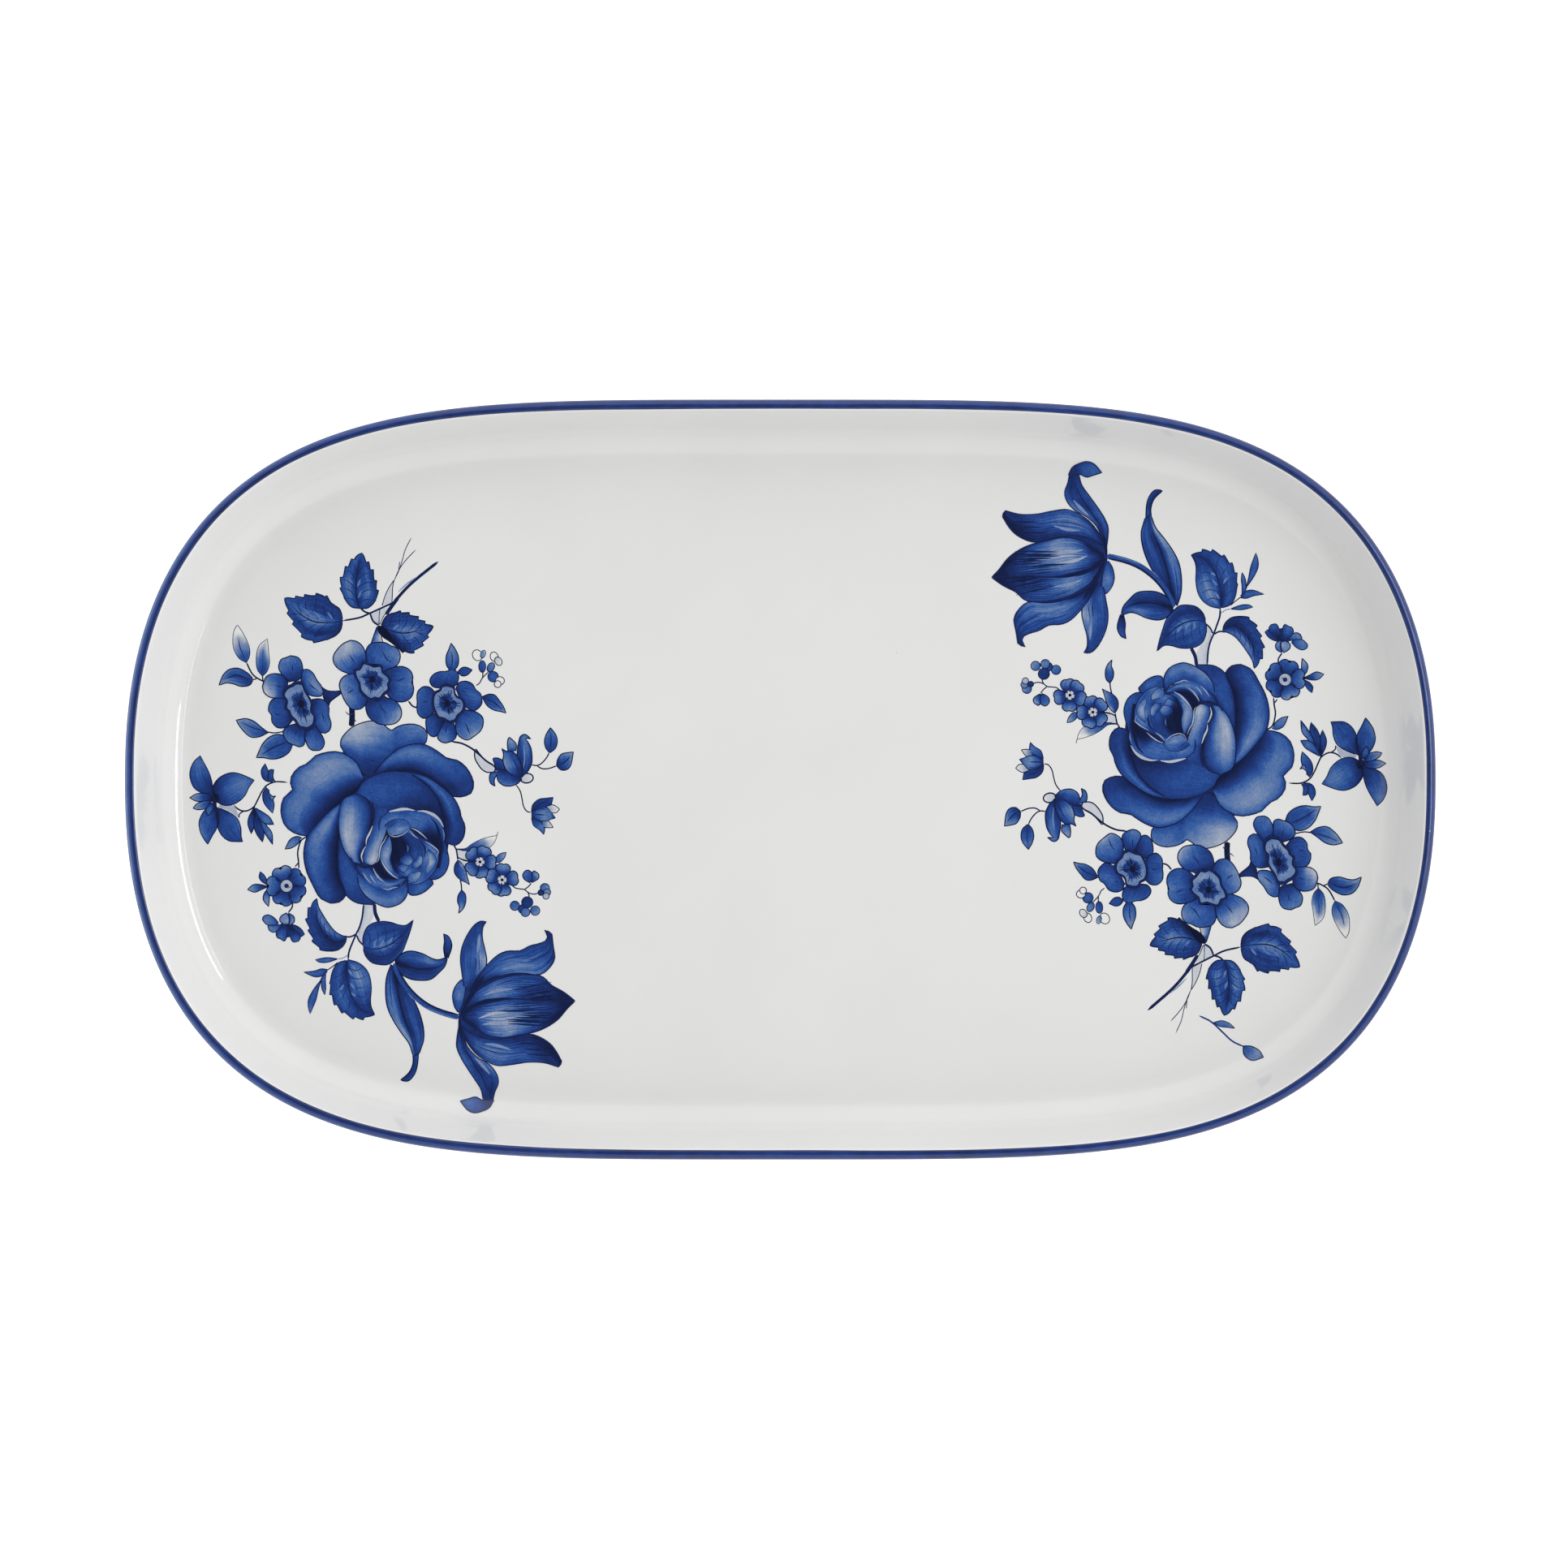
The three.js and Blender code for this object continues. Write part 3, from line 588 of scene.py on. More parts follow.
def make_band():
    """The enamel over the lip: wandering inner edge, dark edges that are partly pooled enamel and
    partly painted shade, and a painted highlight along the left side.
    """
    body, decor = settings()
    count = body.stations
    ring, outward = outline_stations(count)
    across = 16
    obj, column, row = add_grid("lip_band", count, 2 * across + 1)
    station = column % count
    turn = 2 * math.pi * np.arange(count) / count
    rng = np.random.default_rng(7)
    stray = sum(
        rng.uniform(0.3, 1.0) * np.sin(k * turn + rng.uniform(0, 6.28)) / k ** 0.35
        for k in (2, 3, 5, 8, 13, 21, 34))
    stray *= decor.band_wobble / np.abs(stray).max()
    width = decor.band_width + stray
    end = np.degrees(np.arccos(1 - width / body.lip_radius))
    begin = -18 + 6 * stray[::-1]
    outside = row <= across
    share = np.where(outside, row / across, (2 * across + 1 - row) / across)
    angle = np.radians(begin[station] + (end[station] - begin[station]) * share)
    feather = np.clip((share - 0.9) / 0.1, 0, 1) ** 2
    radius = body.lip_radius - ENAMEL * np.where(outside, 1.15 * feather, 2)
    inset = body.lip_radius - radius * np.cos(angle)
    plan = ring[station] - outward[station] * inset[:, None]
    z = RIM_Z - body.lip_radius + radius * np.sin(angle)
    put_vertices(obj, np.c_[plan, z] * MM)
    # Tone across the band, outside to inside: darkest on the outer side, painted shade where the
    # lip turns away, and darker again at the inner edge, partly pooled enamel and partly painted
    # shade
    tone = np.interp(share, (0, 0.1, 0.22, 0.45, 0.75, 0.9, 1),
                     (0.02, 0.04, 0.15, 0.18, 0.2, 0.14, 0.1))
    # painted highlight: a paler streak along the middle of the band on the left side, where the lip
    # would catch the window light
    painted_highlight = np.clip(-np.cos(turn), 0, 1)[station] ** 3
    tone += 0.4 * painted_highlight * np.exp(-((share - 0.46) / 0.09) ** 2)
    store(obj, "tone", tone)
    merge(obj)
    smooth_faces(obj)
    finish_piece(obj, band_material(), "band_enamel", "rim_band")


def make_foot():
    """The bare ring that it stands on, with softened edges."""
    low, high = (np.array(corner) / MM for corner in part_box("foot_ring"))
    outer = HIGH[0] - high[0]
    width, face, soft = 5.4, 3.0, 0.35
    taper = (width - face) / 2
    profile = np.array([
        (outer, high[2]), (outer + taper * 0.8, low[2] + soft), (outer + taper, low[2] + 0.1),
        (outer + taper + soft, low[2]), (outer + width - taper - soft, low[2]),
        (outer + width - taper, low[2] + 0.1), (outer + width - taper * 0.8, low[2] + soft),
        (outer + width, high[2]), (outer, high[2])])
    obj, _, _ = lay_round("bare_foot", profile)
    merge(obj)
    smooth_faces(obj, 60)
    finish_piece(obj, bisque_material(), "foot_bisque", "foot_ring")


# ---------------------------------------------------------------------------------------------
# drawing the bouquet


def trace(points):
    """Points as an array, from a text such as "x,y x,y" or from numbers."""
    if isinstance(points, str):
        points = [pair.split(",") for pair in points.split()]
    return np.array(points, float)


def smooth(points, count):
    """Evenly spaced points on a smooth line through given points."""
    given = trace(points)
    if len(given) == 2:
        share = np.linspace(0, 1, count)[:, None]
        return given[0] * (1 - share) + given[1] * share
    padded = np.vstack([2 * given[0] - given[1], given, 2 * given[-1] - given[-2]])
    share = np.linspace(0, 1, 14, endpoint=False)[:, None]
    fine = []
    for before, start, end, after in zip(padded, padded[1:], padded[2:], padded[3:]):
        fine.append(0.5 * (2 * start + (end - before) * share
                           + (2 * before - 5 * start + 4 * end - after) * share ** 2
                           + (3 * start - before - 3 * end + after) * share ** 3))
    fine = np.vstack([*fine, given[-1:]])
    run = np.r_[0, np.cumsum(np.linalg.norm(np.diff(fine, axis=0), axis=1))]
    at = np.linspace(0, run[-1], count)
    return np.c_[np.interp(at, run, fine[:, 0]), np.interp(at, run, fine[:, 1])]


def spoke(middle, degrees, start, end):
    """Two points on a line that runs out from a middle."""
    turn = math.radians(degrees)
    return [(middle[0] + reach * math.cos(turn), middle[1] + reach * math.sin(turn))
            for reach in (start, end)]


def shade_at(shades, across, along):
    """Tone from rows of shade digits, base to tip, each row left to right; w is bare china."""
    rows = []
    for row in shades.split():
        marks = [1.0 if mark == "w" else int(mark) / 10 for mark in row]
        rows.append(np.interp(np.linspace(0, 1, 13), np.linspace(0, 1, len(marks)), marks)
                    if len(marks) > 1 else np.full(13, marks[0]))
    table = np.array(rows if len(rows) > 1 else rows * 2)

    def between(share, count):
        place = np.clip(share, 0, 1) * (count - 1)
        low = np.minimum(place.astype(int), count - 2)
        part = place - low
        return low, part * 0.4 + 0.6 * part * part * (3 - 2 * part)

    i, down = between(along, len(table))
    place = np.clip(across, 0, 1) * 12
    j = np.minimum(place.astype(int), 11)
    part = place - j
    upper = table[i, j] * (1 - part) + table[i, j + 1] * part
    lower = table[i + 1, j] * (1 - part) + table[i + 1, j + 1] * part
    return upper * (1 - down) + lower * down


class Drawing:
    """Draws one motif as shallow sheets, each laid over those it crosses."""

    laid = []

    def __init__(self):
        self.sheets = []
        self.lift = 0.0
        self.ink_width = settings()[1].ink_width

    def sheet(self, left, right, tone, rows, columns, streak=0.0, on_top=True, level=None,
              middle=None):
        """A sheet between two edges, with its tone worked out from across and along."""
        obj, column, row = add_grid("sheet", columns, rows)
        share = column / columns
        plan = left[row] * (1 - share)[:, None] + right[row] * share[:, None]
        if middle is not None:
            near = np.abs(2 * share - 1)[:, None]
            edge = np.where(share[:, None] < 0.5, left[row], right[row])
            plan = edge * near + middle[row] * (1 - near)
        low, high = plan.min(axis=0), plan.max(axis=0)
        if level is None:
            under = [top for box_low, box_high, top in Drawing.laid
                     if (low < box_high).all() and (high > box_low).all()]
            level = 1 + max(under, default=0)
        if on_top:
            Drawing.laid.append((low, high, level))
        put_vertices(obj, np.c_[plan, np.full(len(plan), level)])
        tones = tone(share, row / rows)
        store(obj, "tone", np.clip(tones + self.lift * (1 - tones), 0, 1))
        store(obj, "streak", np.full(len(plan), streak))
        turn = len(self.sheets) * 0.37
        values = np.empty(len(obj.data.loops) * 2)
        obj.data.uv_layers.active.data.foreach_get("uv", values)
        obj.data.uv_layers.active.data.foreach_set("uv", values + turn)
        self.sheets.append(obj)
        return level

    def petal(self, left, right, shades, streak=0.25, ink=1.0, rows=26, columns=16, hem=0.0):
        """A petal or half leaf from base to tip between its edges, with an inked outline."""
        left_edge = smooth(left, rows + 1)
        right_edge = smooth(right, rows + 1)

        def tone(across, along):
            value = shade_at(shades, across, along)
            if hem:
                near = np.minimum(np.minimum(across, 1 - across) * 2, (1 - along) * 1.6)
                value = value - hem * np.clip(1 - near / 0.22, 0, 1) ** 1.5
            return np.clip(value, 0, 1)

        level = self.sheet(left_edge, right_edge, tone, rows, columns, streak)
        if ink:
            self.outline(np.vstack([left_edge, right_edge[::-1][1:]]), ink, level + 0.5)

    def outline(self, points, weight, level):
        self.ribbon(points, self.ink_width * weight, 0.04, level)

    def ribbon(self, points, width, shade, level=None, taper=0.0, on_top=False):
        """A line of even or tapering width."""
        ahead = np.gradient(points, axis=0)
        length = np.linalg.norm(ahead, axis=1)
        length[length < 1e-9] = 1
        side = np.c_[-ahead[:, 1], ahead[:, 0]] / length[:, None]
        share = np.linspace(0, 1, len(points))
        shape = np.ones(len(points))
        if taper:
            shape = np.clip(np.minimum(share, 1 - share) / taper, 0, 1) ** 0.7 * 0.88 + 0.12
        side *= (shape * width / 2)[:, None]
        self.sheet(points - side, points + side, lambda across, along: np.full(len(across), shade),
                   len(points) - 1, 1, 0.0, on_top, level)

    def line(self, points, width=0.3, shade=0.05, taper=0.3):
        """A brushed line through given points, over whatever it crosses."""
        points = trace(points)
        steps = max(6, 5 * len(points))
        self.ribbon(smooth(points, steps), width, shade, None, taper, on_top=True)

    def stem(self, points, width=0.5, shade=0.05):
        self.line(points, width, shade, taper=0.06)

    def blade(self, left, rib, right, shades, teeth=0, streak=0.5, only=None, lit=(), veins=5):
        """A leaf between its two edges, folded along its rib, with teeth and side veins."""
        rows = 9 * teeth if teeth else 30
        share = np.linspace(0, 1, rows + 1)
        middle = smooth(rib, rows + 1)
        edges = []
        for name, points in (("left", left), ("right", right)):
            edge = smooth(points, rows + 1)
            if teeth and only in (None, name):
                ahead = np.gradient(edge, axis=0)
                out = np.c_[-ahead[:, 1], ahead[:, 0]] / np.linalg.norm(ahead, axis=1)[:, None]
                out *= np.sign(((edge - middle) * out).sum(axis=1))[:, None]
                bite = ((share * teeth) % 1) ** 1.6 * np.clip(share * 5 - 1.2, 0, 1)
                edge = edge + out * ((bite - 0.25) * 0.8 * np.clip((1 - share) * 9, 0, 1))[:, None]
            edges.append(edge)
        level = self.sheet(edges[0], edges[1],
                           lambda across, along: shade_at(shades, across, along),
                           rows, 20, streak, middle=middle)
        self.outline(np.vstack([edges[0], edges[1][::-1][1:]]), 1.0, level + 0.5)
        for vein in range(veins):
            start = 0.1 + 0.68 * vein / veins
            for edge in edges:
                low = middle[int(start * rows)]
                high = edge[min(rows, int((start + 0.18) * rows))]
                bend = (low + high) / 2 + (middle[min(rows, int((start + 0.05) * rows))] - low)
                self.ribbon(smooth([low, bend, low * 0.1 + high * 0.9], 8), 0.3, 0.12,
                            level + 0.5, taper=0.6)
        for points in lit:
            self.line(points, 0.75, 0.52, 0.6)
        self.ribbon(middle[: int(rows * 0.92)], 0.36, 0.05, level + 0.5, taper=0.4)

    def ball(self, middle, radius, shades="333 464 353", ink=1.0, turn=0.0, squash=1.0, streak=0.2):
        """A round bud or lobe, lit from its middle."""
        angle = np.radians(np.linspace(-90, 90, 15))
        turned = math.radians(turn)
        axis = np.array([math.cos(turned), math.sin(turned)])
        cross = np.array([-axis[1], axis[0]])
        along = np.sin(angle)[:, None] * axis * radius
        out = np.cos(angle)[:, None] * cross * radius * squash
        centre = np.array(middle, float)
        left_edge, right_edge = centre + along + out, centre + along - out
        level = self.sheet(left_edge, right_edge,
                           lambda across, along: shade_at(shades, across, along), 14, 10, streak)
        if ink:
            self.outline(np.vstack([left_edge, right_edge[::-1][1:], left_edge[:2]]), ink,
                         level + 0.5)

    def lobe(self, middle, degrees, reach, width, shades, notch=0.05, streak=0.35, start=0.1):
        """A blossom's petal: narrow at the middle, two soft lobes at its end."""
        axis = np.array([math.cos(math.radians(degrees)), math.sin(math.radians(degrees))])
        cross = np.array([-axis[1], axis[0]])
        shape = ((start, 0.3), (0.45, 0.8), (0.74, 0.98), (0.93, 0.74), (1.0, 0.34), (1 - notch, 0))
        centre = np.array(middle, float)

        def edge(sign):
            return [centre + axis * along * reach + cross * sign * out * width / 2
                    for along, out in shape]

        self.petal(edge(1), edge(-1), shades, streak, rows=20, columns=14)

    def eye(self, left, right, heart, radius=0.9):
        """A primrose's pale scalloped disc, with strokes running into a dark heart."""
        heart = np.array(heart, float)
        rim_left, rim_right = smooth(left, 40), smooth(right, 40)

        def disc(reach, shades, streak):
            self.sheet(heart + (rim_left - heart) * reach, heart + (rim_right - heart) * reach,
                       lambda across, along: shade_at(shades, across, along), 39, 8, streak)

        disc(1.16, "11 11", 0.2)
        self.petal(left, right, "555 666 565 666 555", 0.4, ink=0.9)
        disc(0.6, "555 433 322 433 555", 0.6)
        rng = np.random.default_rng(int(abs(heart[0] * 10)) + 3)
        for edge in (rim_left, rim_right):
            for step in range(1, 40, 3):
                outer = heart + (edge[step] - heart) * rng.uniform(0.5, 0.85)
                self.line([heart, outer], 0.4, rng.uniform(0.04, 0.3), 0.5)
        self.ball(heart, radius, "111 000 111", ink=0)

    def finish(self, name):
        """Joins the sheets and closes each one down to the china."""
        bpy.ops.object.select_all(action="DESELECT")
        for sheet in self.sheets:
            sheet.select_set(True)
        bpy.context.view_layer.objects.active = self.sheets[0]
        bpy.ops.object.join()
        obj = bpy.context.object
        obj.name = obj.data.name = name

        def close():
            bpy.ops.mesh.remove_doubles(threshold=1e-4)
            bpy.ops.mesh.extrude_region_move(TRANSFORM_OT_translate={"value": (0, 0, -100)})

        edit(obj, close)
        return obj


# ---- the motifs, each drawn in the bouquet's millimetres, back to front ----


def draw_rose(pen):
    pen.lift = 0.02
    # a dark ground, so that no china shows between the petals
    pen.petal(
        "0,-23 -8,-22 -16,-19 -17,-9 -20,-5 -22,4 -12,13 -6,20",
        "2,-23 8,-18 17,-15 19,-8 20,2 20,8 10,15 6,20", "222 111 101 111 222", ink=0)
    # the back petals
    pen.petal(
        "-9.9,17.6 -7,13 -3,9.6 1,8.6 5,10 9,13.6 13,18.8",
        "-9.9,17.6 -9.7,19.4 -8.4,21.2 -6.6,22.7 -4.4,23.7 -1.6,24.3 0.8,23.8 2.8,22.3 3.8,21.8 "
        "5,22.6 7,23.3 9.8,23.4 12.2,22.4 13.2,20.8 13,18.8",
        "2344 1367 1378 1267 0246 0134 1245 1245 2344", 0.16, rows=48)
    pen.petal(
        "-1,10.4 2,14 5.4,16.8 9,18.1 12.5,18 16,16.2 18.4,14.4 21.4,13.7 24,11.4 25.6,7.8 "
        "24.8,4.9 22,4", "-0.4,9.6 4,10.6 9,10.8 13.5,9.2 17.5,6.8 20,4.4 21.6,4",
        "11110 34310 35420 35420 34320 33321 22211 22222", 0.14, hem=0.1)
    # the hollow behind the heart, and the rolled edge round its right side
    pen.petal(
        "-6.4,5.4 -3.4,8.4 0.5,10.3 5,10.9 10,10.2 14,8 16.8,4.4 17.8,0 18,-5 17.6,-9",
        "-6,5 -3,2.6 0,0 4,-1.4 9,-2 13,-3 15,-5 16,-8", "2223 2333 2332 2321 1210 1100 0000 0000",
        0.14, ink=0.8)
    pen.petal(
        "9,10.6 13,9.4 17,6.8 20.4,3.6 21.9,0.6 22.3,-1.4 23.3,-3.8 22.8,-7 20.8,-8.9 18.4,-8.2",
        "9.2,10 13,7.2 15.6,4 17,0 17.6,-4 17.9,-7.6", "22221 33420 33430 23420 22310 22210 22211",
        0.14, hem=0.06)
    pen.petal(
        "-4,9.6 -5.6,13.2 -9.5,15.8 -13,16 -16.8,14.9 -18.4,13.1 -21.4,11.6 -23.3,8.6 -22.7,5.6 "
        "-24.8,4.2 -25.8,0.6 -24.8,-3.4 -22,-5.7 -19,-6.4",
        "-4,8.6 -5.4,5.6 -8.4,3.2 -12.4,-0.6 -15.8,-4 -18,-6.2",
        "334310 455310 466410 466410 355310 355310 344210 233221", 0.14, hem=0.1)
    # the lower petals
    pen.petal(
        "17.4,-5 18.4,-9.5 19,-13.2 18,-16.2 16,-17.8 14.2,-18",
        "16,-5 16.4,-9.5 16.2,-13 14.6,-16 13,-17.8", "100 310 331 332 222", 0.2)
    pen.petal(
        "8,-17 8,-20 8.6,-22 10.6,-22.1 12.6,-21.2 14,-20 14.8,-19.2",
        "12.4,-17.4 13.8,-17.8 14.6,-18.4 14.8,-19.2", "111 232 342 332 222", 0.2)
    pen.petal(
        "-10.2,-5 -10.9,-12 -10.4,-17 -8.6,-21.8 -5.6,-24.2 -1.4,-24.7",
        "-9.6,-5 -7.2,-12 -4.4,-16.6 -3.4,-20 -1.4,-22.8 0,-24.4", "0111 1221 1331 2332 2222 2222",
        0.2)
    pen.petal(
        "-8.4,3.2 -12.2,0.8 -16,-3 -18.7,-6.4 -19.7,-11 -19,-15.6 -17.3,-19.4 -15.4,-22.8 "
        "-12.6,-24.3",
        "-7.6,3 -9.2,0 -10.1,-5 -10.6,-11 -10.3,-16.5 -8.9,-20.6 -8.5,-22.2 -10.2,-24 -12.6,-24.3",
        "222210 245310 256410 255310 244310 243210 233211 222222", 0.16, hem=0.06)
    pen.petal(
        "-5.4,-17.4 -5,-19.6 -3.6,-21.9 -1.6,-23.6 0.8,-24.9 3,-25.4 6,-24.4 7.7,-22.4 8.2,-19.6",
        "-4.4,-15.8 -3,-18 0,-19.8 3.6,-20.4 6.4,-19.4 8,-17.6",
        "2322 5432 6542 5532 4532 4542 3432 2211", 0.2)
    # crossing lips under the heart
    pen.petal(
        "-6.2,-12.6 -4.8,-16.2 -2.4,-19.2 1.4,-20.6 4.4,-20.2 6.6,-19",
        "-3,-13.4 -1.4,-16 1,-18 4,-18.6 7.4,-17.6", "1111 2332 3443 3454 3453 2332", 0.3, ink=0)
    pen.petal(
        "-1.8,-13.4 -1,-15.6 0.4,-17.6 2.6,-18.8 5,-18.9 7.6,-18",
        "0.4,-12.6 1,-14.4 2.6,-16.6 5.4,-17.8", "0000 1000 3000 4200 4431", 0.2, ink=0)
    # the pale front petal and the fold beside it
    pen.petal(
        "-2.8,3.4 -1.4,0 -1.4,-4 -2.4,-7 -3.4,-9.6 -4,-12.6 -3.2,-13.8 -1.6,-14.2",
        "2.6,0.6 2.8,-2.6 2.3,-5.2 1.4,-7.6 0.5,-9.6 0.2,-12 -0.5,-13.6 -1.6,-14.2",
        "1223 1233 1344 2455 2466 2576 2687 2665", 0.3, ink=0.7)
    pen.petal(
        "-6.5,4.7 -9.4,3.1 -10.4,-1.5 -10.2,-6 -8.8,-10.5 -6.2,-13.6 -4,-14.8",
        "-5.8,4.9 -2.6,3.2 -1.6,-0.5 -2.2,-5 -3.4,-8.8 -4.6,-12 -4,-14.8",
        "222221 344321 366431 477531 487631 477521 355410 233310", 0.2, hem=0.05)
    # the heart, from its outer ring inwards
    pen.petal(
        "0.8,-1.6 3,0 5.4,0.6 8,0.9 12,0.4 15.4,-1 17.2,-3.4 17.9,-7 17.2,-11 16.6,-15",
        "2.2,-4.8 5,-2.6 8.2,-3.8 10.4,-4.6 12.8,-6.4 15,-8.6 16.2,-10.4 16.2,-13 15.4,-15",
        "3445 3456 2345 2444 3443 4310 4100 3000 2000 1000", 0.22, ink=0.6)
    pen.petal(
        "8.6,-4.4 11.4,-6.6 14.4,-8.4 16.2,-10.8 16,-13.8 14.6,-16.6 12.4,-18.6 10,-19.3 8,-18.8",
        "7.6,-5.6 10,-7.2 11.6,-9.6 12,-12.4 11.2,-14.6 9.4,-16 7.8,-16.2",
        "2343 1123 2222 3542 3663 3544 3332 4554 4554", 0.3, ink=0.6)
    pen.petal(
        "1.8,-3.6 3.2,-2.4 5.2,-1.8 7.6,-2.2 9,-3.8", "2.8,-5.2 4.2,-6.4 6,-6.2 7.6,-5.4 9,-3.8",
        "2344 2355 3465 3454 3333", 0.3, ink=0.3)
    pen.petal(
        "3,-6.4 1.6,-8.4 0.7,-10.4 0.7,-12.8 1.8,-14.8 3.4,-16.6 5.4,-17.9",
        "3.4,-6.6 3.8,-8.6 3.8,-10.4 3.4,-12.4 3.8,-14.2 4.8,-16 6.4,-17",
        "2333 2454 3564 4674 4663 5543 4433 3333", 0.35, ink=0.7)
    pen.petal(
        "3.8,-6.4 3.8,-9.4 3.6,-12.4 4.6,-15 6,-16.8 8,-17.2",
        "8,-5.4 10.4,-7.4 12,-10 12,-12.8 10.4,-15.4 8,-17.2",
        "00122 00022 00022 00232 02333 24543 24433", 0.3, ink=0)
    pen.petal(
        "8.2,-16.6 8.1,-18 9.2,-18.9 10.4,-18.6", "9.4,-16.3 11.4,-15.9 11.4,-17.2 10.4,-18.6",
        "344 466 344", 0.3, ink=0.5)
    # small inner petals
    pen.petal(
        "6,-12.4 7.6,-11.4 9,-11.6 9.5,-12.8", "6.2,-13.6 7.8,-14.2 9,-13.8 9.5,-12.8",
        "222 245 256 235", 0.3, ink=0.4)
    pen.petal(
        "8.8,-13.8 10,-12.8 11.2,-11.4 12,-12", "9,-14.9 10.6,-14.8 11.8,-13.6 12,-12",
        "222 255 366 355", 0.3, ink=0.4)
    pen.petal(
        "5.4,-14.6 6.6,-13.9 8.4,-14.4", "5.8,-15.8 7.2,-15.9 8.4,-14.4", "233 355 344", 0.3,
        ink=0.4)
    pen.petal(
        "13.4,-9.8 14.9,-11 15.6,-12.8 15,-14.8 13.2,-16.6",
        "12.8,-10.6 13.4,-12 13.6,-13.6 12.9,-15.2 13.2,-16.6", "233 366 477 455 344", 0.3, ink=0.4)
    for points, width, shade in (
            ("1,-0.8 0.4,-3 0.4,-5", 0.6, 0.14),
            ("-1.4,2.6 -1.2,0 -1.1,-2.6", 1.0, 0.06),
            ("4.2,-7.6 4.6,-9.6 5,-12", 1.5, 0.0),
            ("5.4,-7.2 6.2,-9 6.6,-11.6", 1.7, 0.02),
            ("11.2,-7.6 12.5,-9.4 12.6,-12", 0.6, 0.08),
            ("0.2,-13.2 0.8,-15 2.6,-17 5,-18", 0.9, 0.0),
            ("14.2,-1.6 15.8,-3.6 16.5,-6.6 16.6,-9.4 16.3,-11.8", 0.8, 0.02),
            ("2.3,-4.6 3.6,-3.7 5,-2.7", 0.22, 0.12),
            ("-6.2,-13.4 -3.6,-14.6 -1.4,-14.6", 0.9, 0.06),
            ("-7.4,-11.6 -5.6,-15.4 -3.4,-18", 0.6, 0.1),
            ("3.6,-19.9 6,-19.2 7.8,-17.8", 0.3, 0.14),
            ("8,-17 8,-19 8.2,-21.4", 0.5, 0.08),
            ("4.6,-13.6 6,-15.6 7.6,-16.6", 0.3, 0.14)):
        pen.line(points, width, shade, 0.45)
    # turned edges that catch the light
    for points, width, shade in (
            ("3,0.1 5,0.5 7.5,0.8 9.9,0.4", 0.8, 0.84),
            ("10.6,0.2 12.4,0.2 14.6,-0.6 16.4,-2 17.6,-4", 0.85, 0.8),
            ("17.4,-4.4 17.7,-6 17.7,-7.6", 0.3, 0.56),
            ("8.8,-4.2 10.4,-4.9 12,-6.1 13.2,-7.3", 0.36, 0.8),
            ("8.5,-4.9 9.6,-6.2 10.9,-7.1", 0.32, 0.74),
            ("12.6,-7.8 14.2,-8.7 15.5,-9.7 16.2,-10.6 15.7,-11.8", 0.34, 0.74),
            ("2.5,-6.2 1.7,-7.8 0.9,-9.1 0.5,-10.8 0.3,-12.6 -0.4,-13.6", 0.34, 0.8),
            ("2.7,-5 3.2,-6 4.4,-6.6 6,-6.3 7.4,-5.6 8.5,-4.4", 0.28, 0.72),
            ("1,-12.8 1.5,-14 2.7,-15.6 4,-16.9 5.5,-17.8", 0.5, 0.76),
            ("1.6,-12.8 2.7,-14.4 3.9,-15.7", 0.25, 0.66),
            ("-1.3,-3.6 -2.1,-5.6 -2.9,-7.2 -3.1,-8.8", 0.5, 0.86),
            ("-3.1,-9 -3.9,-10.4 -4.3,-11.8 -4,-13.3", 0.44, 0.84),
            ("-1.2,-14.9 -0.5,-16.4 0.6,-17.8 2,-18.8", 0.55, 0.68),
            ("-2,-16.6 -1.4,-17.8 -0.4,-19", 0.34, 0.7),
            ("-4,-16 -3,-17.6 -1.7,-19.1", 0.32, 0.72),
            ("1.4,-20.3 2.6,-20.7 4,-20.3 5.4,-20", 0.34, 0.72),
            ("7.9,-8.8 8.1,-9.6 8,-10.6", 0.4, 0.44)):
        pen.line(points, width, shade, 0.5)


